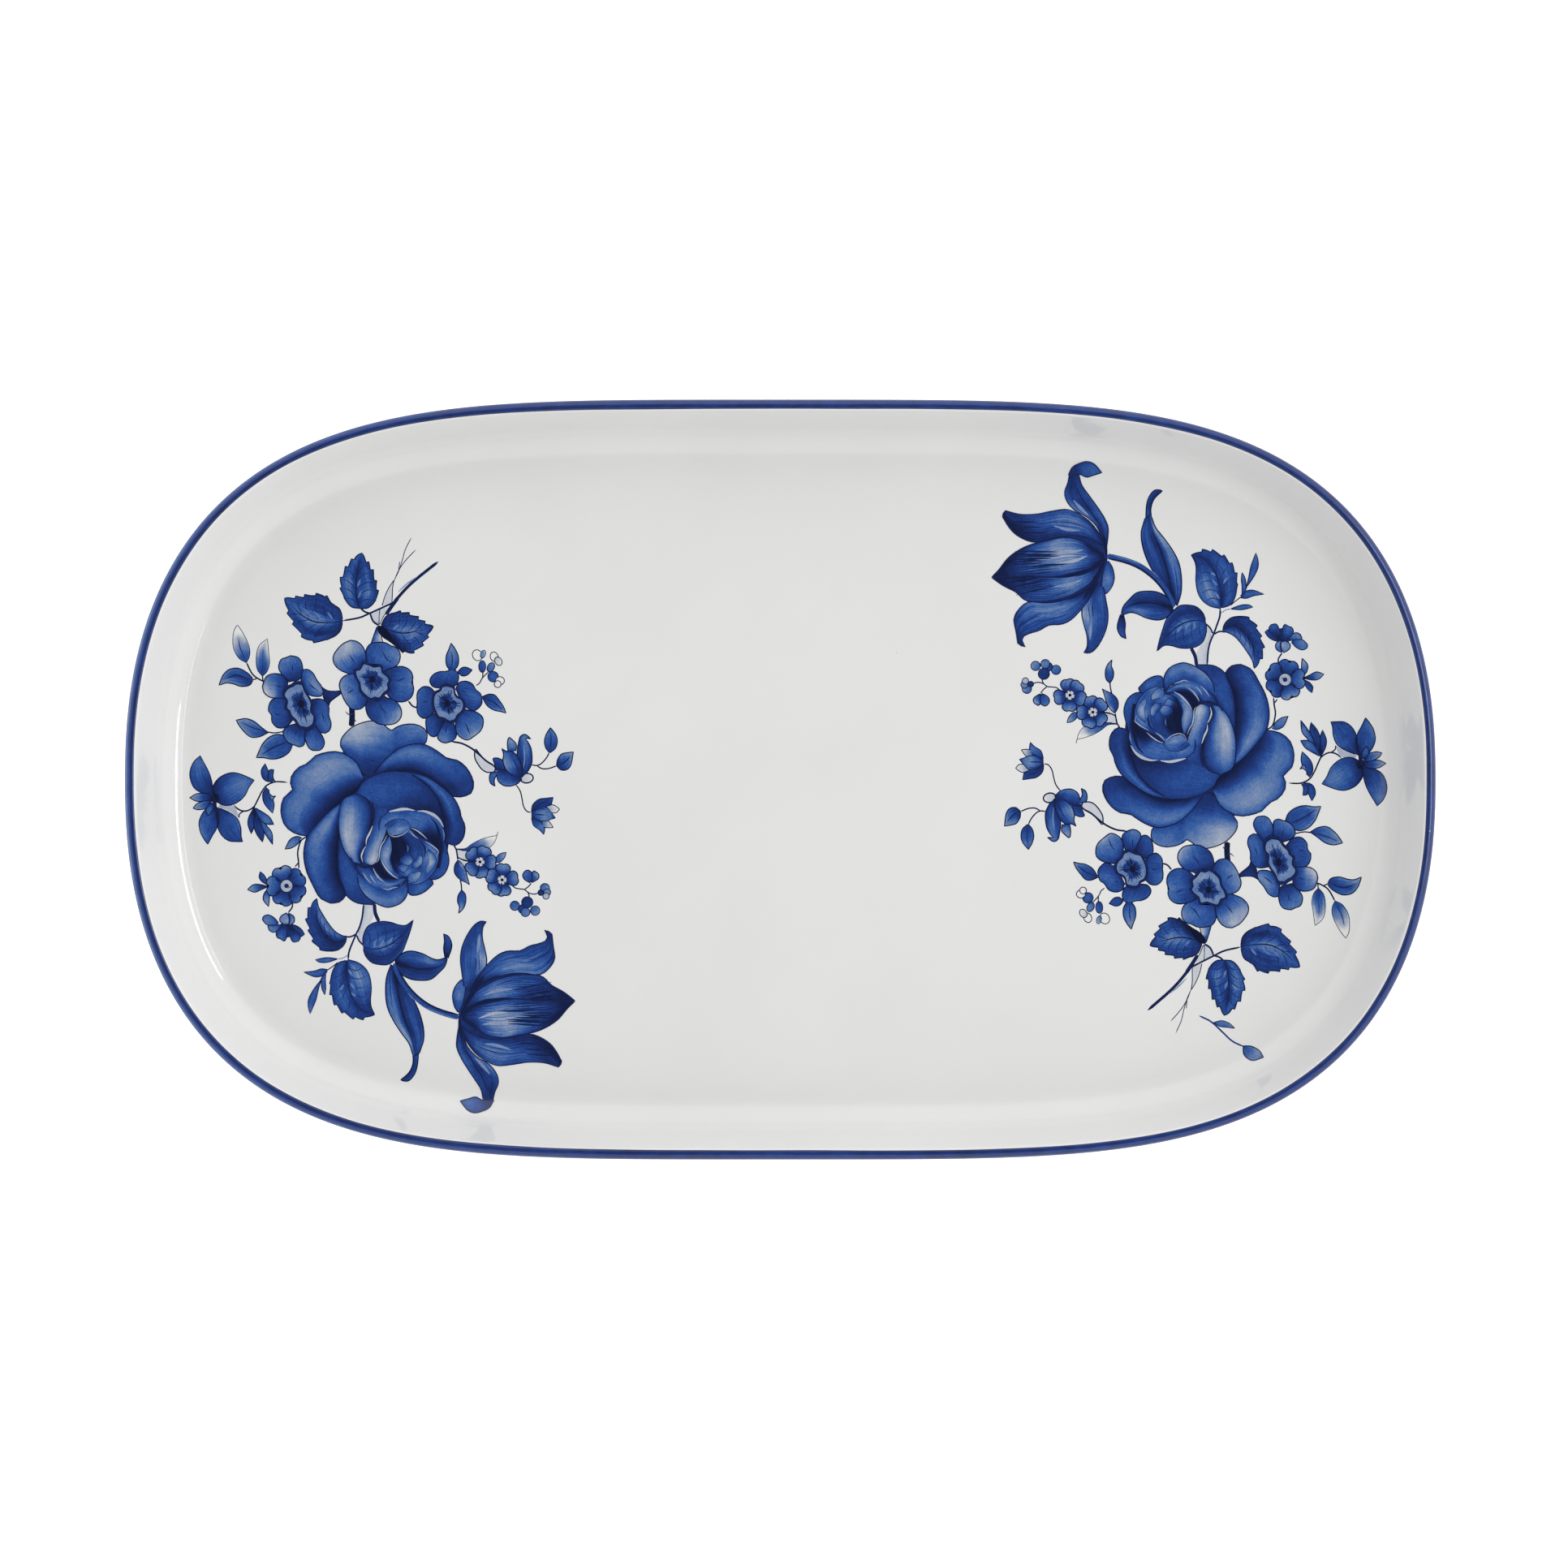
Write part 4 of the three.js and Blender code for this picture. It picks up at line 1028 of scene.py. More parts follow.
def draw_primrose_middle(pen):
    pen.line("-6.9,28.6 -6.8,25.4 -7,22.8", 1.5, 0.02, 0.05)
    pen.line("-6.4,26.4 -7.6,26 -8.6,26.8", 0.25, 0.2)
    pen.line("-7,24.4 -6.2,24.6 -5.8,24", 0.3, 0.1)
    pen.petal(
        "-4.6,36.4 -7.4,36.8 -10.2,38 -11.7,39.8 -11.8,41.6 -10.8,43.3 -9.2,44.9 -7.2,45.8",
        "-2.8,37.6 -3,40.4 -3.3,42.6 -4.2,44.4 -5.6,45.5 -7.2,45.8", "111 321 543 775 785 664", 0.3)
    pen.petal(
        "-2.8,37.6 -3,40.8 -3.1,43 -2.2,44.6 -0.6,45.2 1.8,45.2 3.6,44.3",
        "0.6,37 3,38 5.2,39.2 6,41 5.8,42.8 4.8,43.9 3.6,44.3", "111 232 344 346 445 334", 0.3)
    pen.petal(
        "0.8,37 3.6,38.4 6.6,38.8 8.6,37.8 9.4,36 9.1,34.6",
        "1,33.4 3.4,30.4 5.4,29.4 7.6,29.6 9.2,31 9.6,33 9.1,34.6", "000 222 343 453 343", 0.3)
    pen.petal(
        "-1.8,32 -3,29.6 -3.1,27.4 -2.2,25.2 0,23.6 2.2,23.2",
        "0.6,32 2.2,30.6 4.4,29.8 5.8,28.4 6.4,26.6 6,24.9 4.6,23.6 2.2,23.2",
        "000 112 233 247 257 244", 0.3)
    pen.petal(
        "-4.6,36.4 -7,36.8 -9.2,36 -10.2,34 -9.6,31.6 -8.6,29.4 -7.2,27.7 -6,27.3",
        "-2.8,33 -2.6,30.6 -3,29 -4.4,27.6 -6,27.3", "321 432 642 652 543 443", 0.3)
    for points in (
            "-7.6,42 -5.8,39.4", "1.2,43 2.4,40.8 3.8,39.8", "0.4,29.4 1.2,27.6 2.6,26",
            "-6.4,32.8 -8,31.6", "5,34.8 7.4,35.8"):
        pen.line(points, 0.4, 0.14, 0.5)
    pen.eye(
        "-1.8,30.2 -3,31 -4.4,32.6 -4.7,34.4 -5.6,36 -5.8,37.6 -4.6,38 -3.7,39.5 -2.2,39.1",
        "-1.8,30.2 -0.6,30.7 0.4,30.4 1.6,31.8 2.8,32.8 2.6,34.2 3.1,35.2 2.2,36.4 1.2,37.2 "
        "0.8,38.8 -0.8,38.6 -2.2,39.1", (-1.4, 35.4))


def draw_primrose_inner(pen):
    pen.stem("8.2,29.6 9.4,28.2 11,27.8", 0.45)
    for left, right, shades in (
            ("16.8,33 14.8,33.4 13.9,35 14.8,36.6 16.4,37.4 18.2,37.5 19.6,38",
             "19.8,33.2 21,34 21.6,35.6 21.4,37 20.6,37.8 19.6,38", "111 222 333 343 333"),
            ("20.8,32.6 21.6,34.4 23.4,34.9 25.2,34.2 26.2,32.6 27.4,31.6 27.8,30.2",
             "22.4,28.6 23.8,27.8 25.6,27 27,27.8 27.8,29 27.8,30.2", "111 332 342 342 333"),
            ("22,27.4 24.2,27.2 26.4,26.6 28,25.2 28.1,23.2 27.4,21.6 26,20.4",
             "21,25.4 20.8,23.6 21,21.4 22,20 24,19.2 26,20.4", "111 232 344 455 576 676"),
            ("19.8,24.6 20.6,22.8 21,20.4 20,19 18.2,18.4",
             "18.4,24.8 17.4,23.4 16.2,21.6 16,19.8 17,18.7 18.2,18.4", "111 222 244 355 444"),
            ("18,24.8 17,22.6 15.8,20.4 14.4,20.2 13.2,21.4",
             "16,26 14.2,26.2 13,24.8 12.9,23 13.2,21.4", "000 122 233 333 333"),
            ("15.2,27 14,25.6 12.2,25 10.8,26.2 10.5,27.8 10.6,29.4",
             "15.6,31.6 14,33.2 12.2,33.4 10.8,32.2 10.5,30.6 10.6,29.4", "111 232 334 445 555")):
        pen.petal(left, right, shades, 0.3)
    for points in (
            "24.6,20.6 24,22.4 23,24", "18.2,21 18.3,22.8", "12,29.4 13.6,29.4",
            "22.4,32.6 23.4,31.8"):
        pen.line(points, 0.35, 0.12, 0.5)
    pen.eye(
        "19.2,24.2 17.6,25.1 16.3,25.5 15.5,27 15,28.5 15,30.4 15.6,31.7 16.8,32.3 17.2,33.3 "
        "18.4,33.6",
        "19.2,24.2 20.6,24.7 21.2,25.9 22.3,26.8 22.9,28.4 22.4,29.9 21.2,30.5 20.5,31.4 20.2,33 "
        "18.4,33.6", (18.6, 29))
    pen.petal(
        "19.2,37.8 18.3,39.4 18.3,41.6 19,43.4 19.6,45",
        "20.6,37.8 21.5,39.4 21.5,41.6 20.6,43.6 19.6,45", "222 343 454 565 665", 0.4)
    pen.line("19.8,38.2 19.9,41 19.7,43", 0.3, 0.12)
    pen.petal(
        "21.4,37.4 22.4,38.4 23.6,38.6 25.2,37.9", "21.4,37.2 22.6,36.3 24,36.6 25.2,37.9",
        "222 333 334", 0.3)
    pen.petal(
        "27.8,30.7 29.6,31.4 31.2,31.2 32.4,29.8 33.6,28 34.2,26.4",
        "28,30.4 29.2,28.4 31,27.2 32.8,26.8 34.2,26.4", "111 323 334 545 676", 0.5)
    pen.line("28.4,30.4 31,29.2 33.2,27.4", 0.35, 0.12)
    pen.stem("26.2,33.7 27.2,34.4 28,35.8 29.8,37.6", 0.3)
    pen.stem("28,35.8 28.1,37.4", 0.3)
    pen.ball((27.9, 38.8), 1.55, "222 334 343", 0.8, turn=90, squash=0.6)
    pen.ball((26.6, 41.8), 1.5, "www www www", 0.8, turn=120, squash=0.85)
    pen.ball((28.1, 42.1), 1.1, "444 567 888", 0.6, turn=70, squash=0.6)
    pen.ball((30.2, 38.6), 1.3, "333 455 565", 0.8, turn=60, squash=0.7)
    pen.ball((31.1, 41.4), 1.3, "999 www www", 0.8, turn=110, squash=0.8)
    pen.ball((32.2, 40.2), 1.2, "788 w99 www", 0.8, turn=-60, squash=0.75)
    pen.ball((30.8, 36.1), 1.4, "222 343 343", 0.8, turn=-40)
    pen.ball((32.6, 35), 1.2, "899 www www", 0.8, squash=0.9)
    pen.ball((32, 34.1), 0.9, "899 www www", 0.8)


def draw_primrose_outer(pen):
    pen.petal(
        "-15,33.4 -13.4,32.4 -11.4,32.2 -9.6,32.4",
        "-14.6,31 -13.4,28 -12.6,29.4 -11.4,30.4 -9.8,31.6 -9.6,32.4", "111 211 221 111", 0.2)
    pen.stem("-24.4,21.6 -27.4,21.1 -29.6,21.4", 0.35)
    pen.petal(
        "-29.2,21.2 -31,22.6 -33,24.2 -35.2,24.9 -37.7,24.5",
        "-29.2,21.2 -31.4,20.1 -33.8,20 -35.8,21.6 -37,23.2 -37.7,24.5", "222 434 545 656 777", 0.6)
    pen.line("-29.6,21.4 -33,22.4 -36.4,24", 0.3, 0.12)
    pen.petal(
        "-24.4,20.2 -26.6,20.7 -28.8,20 -30.6,18.2 -31.6,16.2 -32.3,14.5",
        "-22.6,18.2 -23.6,16 -25.6,14.6 -28,14.1 -30.4,14.5 -32.3,14.5",
        "2222 4333 5333 5334 6556 7777", 0.5)
    pen.line("-24,18.6 -27.4,17.4 -31,15.2", 0.4, 0.1)
    for left, right, shades in (
            ("-23.4,34.6 -25.6,36.8 -26.4,38.6 -25.8,40.6 -24.4,41.2 -23.2,41.7",
             "-21.2,35 -20,36.6 -20,38.4 -20.4,40.2 -21.4,41.3 -23.2,41.7", "111 322 543 554 443"),
            ("-20.6,34.4 -20.2,36.6 -20,37.8 -18.6,38 -17.2,37 -16.2,35.2 -15,33.6 -14.5,32",
             "-18.8,31.6 -17.6,31 -16.2,30.8 -15,31 -14.5,32", "111 343 464 464 454"),
            ("-17.6,30 -15.6,30.2 -14,29.6 -13,28 -13,25.8 -12.4,23.6 -12.8,21.8 -14,21",
             "-17.6,26.8 -17.2,24.4 -16.6,22.8 -15.6,21.4 -14,21", "111 331 342 442 333"),
            ("-16.8,23.6 -15.6,21.6 -14.6,20 -14.2,18.2 -15.2,16.6 -17.2,16.4",
             "-18.8,22.6 -19.4,20.4 -19,18.4 -18.2,17 -17.2,16.4", "111 232 344 445 444"),
            ("-19.2,22.6 -19.4,20 -19.6,18 -20.8,17.4 -22,17.8",
             "-21.6,23.6 -24,22.8 -25.2,21.4 -24.6,19.4 -23.2,18.2 -22,17.8",
             "111 222 344 455 444"),
            ("-22.6,24.6 -24.4,22.7 -26.6,22.5 -28.1,24 -28.3,25.8 -29.1,27",
             "-24,29.8 -26,30.6 -28,30 -28.9,28.6 -29.1,27", "111 232 333 444 444"),
            ("-24.4,30.4 -26.4,30.4 -28.6,30.6 -30.2,31.8 -30.7,33.4",
             "-23.8,34.6 -25.2,36.4 -27.4,36.9 -29.4,36.3 -30.3,34.9 -30.7,33.4",
             "111 332 854 975 966")):
        pen.petal(left, right, shades, 0.3)
    for points in (
            "-25.4,33.2 -27.2,33.8", "-18.6,34.6 -17.2,33.2 -16,32.4", "-22.6,37.4 -22.8,39.4",
            "-14.8,26.6 -14.4,24.6", "-22,20.4 -21.6,21.8", "-26,26 -27.4,26"):
        pen.line(points, 0.35, 0.14, 0.5)
    pen.eye(
        "-18.8,22.5 -20.8,23 -21.8,24.6 -23,25.8 -23.4,27 -24.3,27.8 -24,29.6 -24.9,31.2 -24,32.8 "
        "-22.8,33.4 -21.8,34.1",
        "-18.8,22.5 -17.4,23.4 -17,25.4 -17.9,27 -17.7,29 -18.6,30.8 -19.5,32.2 -20.2,33.9 "
        "-21.8,34.1", (-20.4, 28.9), 1.0)


def draw_primrose_sprig(pen):
    pen.stem("-29.6,34.6 -31.4,35.3 -33.4,36.8 -35,39.9", 0.42, 0.02)
    pen.stem("-32.2,35.6 -33.4,35.2", 0.35)
    pen.stem("-30.6,34.9 -30.7,36.6", 0.35)
    pen.petal(
        "-30.7,36.2 -32,37.8 -32.4,40 -32.2,42.6 -31.4,44.6 -29.4,46.2",
        "-30.7,36.2 -29.4,37.6 -28.8,39.8 -29,42 -29.2,44.2 -29.4,46.2", "222 424 636 949 w8w www",
        0.6, ink=0.6)
    pen.petal(
        "-35,39.8 -37,41 -38.4,43.6 -38.6,46.4 -38.2,48.6 -37.4,49.9",
        "-35,39.8 -34.2,41.4 -34.1,43.4 -34.9,45.8 -36.2,48.2 -37.4,49.9",
        "333 434 756 979 www www", 0.6, ink=0.6)
    pen.line("-35.2,40.4 -36.6,43.6 -37.2,46.6", 0.3, 0.2)
    pen.petal(
        "-33.3,35.6 -34.6,37 -37,38.3 -39.4,38.1 -41,36.8 -41.9,35 -42.3,33.8",
        "-33.3,35 -34.2,33.8 -36.4,33.5 -38.6,34.2 -40.4,34.4 -42.3,33.8",
        "2222 3323 4335 5345 6566 7777", 0.5)
    pen.line("-33.8,35.2 -37.6,36.4 -41,35.4", 0.4, 0.1)


def draw_top_leaves(pen):
    # cut stems, pale between their outlines
    pen.petal(
        "1.2,55 1.9,57.4 3,59.8 4.4,61.9", "3.8,55.6 3.9,57.6 4,59.8 4.4,61.9", "99 99 99 99", 0.1,
        ink=0.8)
    pen.petal("-1.8,52.8 -1.3,51.2 0,49.8", "0.6,54 0.6,51.8 0.2,49.8", "99 99 88", 0.1, ink=0.7)
    pen.petal("0.6,54.2 0.4,52 0.4,50", "3.2,54.6 1.6,52.2 0.6,50", "99 99 99", 0.1, ink=0.7)
    pen.petal("-1.8,44.8 -1,47.2 -0.2,49.4", "1.4,45.2 1,47 0.8,49", "39 39 12", 0.1, ink=0.9)
    for points, width in (
            ("-9.4,51 -5,51.8 -2.1,53 1,54.4 4,55.8 5.6,57.2", 0.5),
            ("-4.6,54.4 -3.4,53.4 -2.1,53", 0.5),
            ("-2,52.9 -1.2,50.9 0.2,49.8", 0.5),
            ("2.2,52.6 4,55.2 5.6,57.4", 1.0),
            ("4.4,56 7.6,59.6 10.4,62.2 13.4,64.6 16.2,66.8", 0.8),
            ("4.4,61.6 5.6,64.4 7.4,67 10.2,70", 0.22),
            ("4.5,62 5.6,64.2 6.6,67.2 7.4,70 9,73.2", 0.2),
            ("5.6,64.4 5.9,66.8", 0.2)):
        pen.line(points, width, 0.08, 0.08)
    pen.line("5.4,58.6 8,61 10.6,62.8", 0.36, 0.66, 0.3)
    pen.blade(
        "-9.2,51.4 -9.5,53.2 -10.2,54.5 -12,55.7 -14,57.6 -16.4,57.9 -19,57.5 -21.4,57.2 -24.8,57",
        "-9.2,50.9 -13,50.5 -17,50.8 -20.6,52.8 -24.8,57",
        "-9.2,50.4 -9.7,48.4 -11.2,46.8 -13.6,45.8 -16,45.4 -18.8,46 -20.6,47.8 -22,50 -23.4,52.4 "
        "-24.2,54.6 -24.8,57", "22111 22421 22613 22623 23523 33433 33333", teeth=7,
        lit=("-12,51.4 -13.4,53.4", "-15,51.4 -17,53.6", "-17.6,52 -19.6,54.2"))
    pen.blade(
        "-5,54.1 -7,54.5 -8.6,56.2 -9.5,58.6 -9.8,61.4 -8.9,63.8 -7.6,66 -5.9,68 -4.2,69",
        "-4.8,54.1 -5.6,57.4 -5.8,61 -5.2,65 -4.2,69",
        "-4.4,54.1 -2.6,54.2 -0.9,55.6 0,57.8 -0.4,60.4 -1.1,63 -2.2,65.6 -3.3,67.4 -4.2,69",
        "22122 34132 35252 35242 34142 34232 33333", teeth=7,
        lit=("-5.2,57 -4.4,59", "-5.4,60 -4.6,62", "-6.6,61 -8,62.4"))
    pen.blade(
        "0.8,50 2,52.2 4,53.2 6.4,53.3 8.8,52.6 11,51.4 13,50.2 14.8,49.5",
        "0.8,49.4 4,48.2 7,47.7 11,48.4 14.8,49.5",
        "1.2,48.4 2.8,46.2 4.6,44.4 6.4,43 8.4,42.5 10.2,43.2 11.8,44.8 13.2,46.8 14.8,49.5",
        "11000 22300 23520 23633 23433 22222", teeth=7,
        lit=("4,48.6 5.6,50", "6.4,48.2 8,49.4", "8.6,47.6 9.6,46.4"))
    pen.petal(
        "0,49.8 0.2,48 1.6,46.4 3.4,45.2 5.6,43.4", "1.4,49.6 2.8,48.2 3.8,46.6 4.6,45 5.6,43.4",
        "00 00 00 11", 0.1, ink=0)


def draw_trefoil(pen):
    pen.petal(
        "-42.6,1.4 -40.4,0.6 -38.6,-0.4 -37,-1.6", "-42,2 -40,1.8 -38.4,1.6 -37.4,0 -37,-1.6",
        "78 88 88 88", 0.1, ink=0.0)
    pen.stem(
        "-38.4,2 -37.4,0.9 -36,0.3 -34.6,0.4 -33,1.4 -32,3.2 -31,5.2 -29.8,6.9 -28.2,7.8 "
        "-26.6,8.1 -24,7.9", 0.42)
    pen.stem("-35.6,0.3 -36.8,-0.5 -37,-1.6", 0.35)
    for left, right, shades in (
            ("-44.4,4.6 -46.6,5 -48.8,6.3 -49.9,8.6 -50,11 -49,13.4 -47.3,15",
             "-44,4.8 -44.1,7.4 -44.7,9.8 -45.7,12 -46.6,13.6 -47.3,15", "111 221 332 343 454 444"),
            ("-44,4.6 -43.9,6.8 -42.5,8.9 -40.5,10.1 -38.4,10.5 -36,9.9 -32.9,8.5",
             "-43,2.8 -41.4,1.9 -39.4,1.8 -37.2,2.7 -35.4,4.4 -34.3,6.6 -32.9,8.5",
             "000 122 243 354 454 333"),
            ("-45,1.6 -46.6,-0.2 -47.6,-2.6 -47.3,-5.2 -46.3,-7.2 -45.3,-8.6",
             "-43.2,1.8 -42.8,-1 -42.9,-4.2 -43.9,-6 -45.3,-8.6", "111 331 432 533 543 333"),
            ("-43.4,1.6 -42.8,-2 -42.6,-4.2 -41.4,-6.4 -39.6,-7.7 -37.6,-7.9 -36,-7.9",
             "-42,1 -39.4,-0.2 -37.4,-1.8 -36.5,-4.2 -36.4,-6.4 -36,-7.9",
             "111 122 234 334 233 222"),
            ("-44.2,4.4 -46.4,5 -48.4,4.8 -50.1,3.8", "-44.2,3.6 -46.4,2.9 -48.4,2.9 -50.1,3.8",
             "111 323 656 777"),
            ("-44.2,3.2 -46.4,2.9 -48.2,2.2 -49.2,1", "-44.4,1.8 -46,0.9 -47.8,0.6 -49.2,1",
             "111 434 656 777"),
            ("-44.6,2.6 -45.6,1.2 -45.8,0.2 -45.2,-1", "-43.6,2.4 -43.8,1 -44.4,-0.2 -45.2,-1",
             "111 343 444")):
        pen.petal(left, right, shades, 0.4, ink=0.9)
    pen.ball((-43.4, 3.7), 1.3, "111 000 111", ink=0)
    for start, end in (((-44, 4.6), (-43, 1.2)), ((-43, 1.4), (-42.4, -3.6))):
        pen.line([start, end], 0.9, 0.06, 0.4)
    for left, right, shades in (
            ("-28.2,8 -29.8,8.3 -30.8,9.4 -31,11.2 -30,12.9",
             "-27.8,8.2 -28.6,9.6 -29.2,11 -30,12.9", "222 233 333"),
            ("-29.2,8.6 -29.2,10 -28.8,11.2 -27.7,11.3", "-27.4,8.2 -27.9,9.4 -27.7,11.3",
             "222 233 333"),
            ("-29.6,6.6 -30.6,5 -30.5,3 -29.6,1.4 -28,-0.3",
             "-29,6 -28.8,4.6 -28,3.6 -27.6,1.8 -28,-0.3", "22 23 34 45"),
            ("-29,5 -28,4.2 -27.2,4.3", "-29,4.2 -28.2,3.2 -27.2,4.3", "34 56 45"),
            ("-32.8,1.2 -33.4,-1.4 -33,-3.4", "-32.4,1 -30.6,-0.8 -30,-3 -31.4,-4", "11 22 22"),
            ("-32.8,1.4 -34.2,-1 -34.6,-3.2 -33.7,-5.8", "-32.6,1 -32.6,-2 -33.1,-4.4 -33.7,-5.8",
             "111 221 232 222"),
            ("-32.9,-1 -33,-3.6 -32.2,-6 -30.7,-8", "-31.6,-2 -30.8,-4 -30.3,-6 -30.7,-8",
             "112 223 223 222"),
            ("-31.8,-1.4 -31,-4 -29.6,-6.4 -28,-8.7", "-31.4,-1 -29.6,-3.6 -28.2,-5.6 -28,-8.7",
             "122 244 355 222"),
            ("-32.8,0.6 -31.4,-2 -29.6,-3.2 -27.7,-3.3", "-32.4,1 -30.4,-0.2 -28.8,-1.4 -27.7,-3.3",
             "122 243 454 333")):
        pen.petal(left, right, shades, 0.4, ink=0.9, rows=14, columns=8)
    pen.line("-33,1.2 -33,-1", 0.9, 0.04)


def draw_auricula(pen):
    pen.petal(
        "-20.2,-6.9 -21.6,-6.5 -23.4,-7.4 -24.7,-9.9", "-20.6,-7.4 -21.4,-8.6 -23,-9.6 -24.7,-9.9",
        "334 455 566", 0.4, ink=0.9)
    pen.stem("-18.6,-6.5 -20.4,-7.6 -21.3,-10.6 -21.1,-13.2 -21,-15.2", 0.42)
    pen.stem("-21.2,-13.6 -22,-14.6", 0.35)
    for left, right, shades in (
            ("-29.3,-19.5 -30.8,-18.6 -31.6,-17.4 -31.3,-15.9",
             "-29.2,-19.3 -29.6,-18 -30.3,-16.8 -31.3,-15.9", "222 233 334"),
            ("-29.4,-19.8 -31.4,-19.3 -33.2,-19.4 -34.7,-20.7",
             "-29.4,-20 -31,-20.7 -32.8,-21.4 -34.7,-20.7", "111 223 555 777"),
            ("-29,-20.3 -30.2,-21.6 -30.5,-23.4 -29.1,-25.2",
             "-28.9,-20.4 -28.8,-22 -28.9,-23.8 -29.1,-25.2", "222 343 565 676")):
        pen.petal(left, right, shades, 0.4, ink=0.9, rows=16, columns=8)
    pen.stem("-29.8,-19.8 -27.8,-19.9", 0.6)
    middle = (-24.3, -19.7)
    pen.lift = 0.05
    for degrees, shades in (
            (253, "001 222 344 444"),
            (-35, "001 122 344 343"),
            (37, "000 122 343 443"),
            (109, "000 232 566 676"),
            (181, "000 233 455 565")):
        pen.lobe(middle, degrees, 5.3, 5.4, shades, notch=0.12, start=0.2)
    for degrees in (73, 1, -71, 145, 217):
        pen.line(spoke(middle, degrees, 1.4, 3.6), 0.9, 0.04, 0.6)
    pen.ball(middle, 1.6, "777 888 777", 0.3)
    pen.ball(middle, 0.62, "000 111 000", 0)
    pen.line([(middle[0] + 0.5, middle[1] - 0.3), (middle[0] + 0.9, middle[1] - 0.5)], 0.26, 0.1)
    pen.stem("-22.7,-24 -22.8,-25.4 -23.8,-26.8", 0.4)
    pen.ball((-24.2, -31.3), 2.2, "111 111 111", ink=0)
    for left, right, shades in (
            ("-26.4,-29.6 -27.6,-28.2 -29.2,-27.4 -30.5,-27.9 -30.7,-28.8",
             "-26.6,-30.2 -28,-30.4 -29.6,-30 -30.7,-28.8", "112 344 455 444"),
            ("-25.8,-30 -27.4,-30.2 -29.2,-30.3 -28.9,-31.6",
             "-25.4,-30.8 -26.6,-31.6 -27.8,-32.1 -28.9,-31.6", "112 344 455 444"),
            ("-23.6,-30 -22,-30.2 -20.4,-31.2 -19.5,-32.6",
             "-23,-31.2 -21.6,-33 -20.4,-33.2 -19.5,-32.6", "000 122 222 333"),
            ("-22.8,-30.6 -21,-32.4 -20.6,-33.6 -21.2,-34.5",
             "-23.6,-31 -23.4,-33 -22.6,-34.6 -21.2,-34.5", "000 112 233 333"),
            ("-25.4,-30.2 -27,-32 -26.8,-33.4 -25.8,-33.9",
             "-24.2,-31 -24.2,-33 -24.8,-34.4 -25.8,-33.9", "011 232 343 333"),
            ("-24.2,-30.4 -26,-29.2 -25.8,-27.8 -24.3,-26.9",
             "-23.8,-30.2 -23.6,-28.8 -23.8,-27.6 -24.3,-26.9", "345 567 565 444"),
            ("-23.8,-30.2 -23.4,-28.8 -23.6,-27.6 -23.8,-26.9",
             "-23.2,-30.2 -22.2,-29.2 -22.4,-27.8 -23.8,-26.9", "345 465 343 333")):
        pen.petal(left, right, shades, 0.3, ink=0.9, rows=14, columns=8)
    pen.line("-24.6,-29.9 -23.6,-30.4 -22.6,-30.6", 0.9, 0.02)


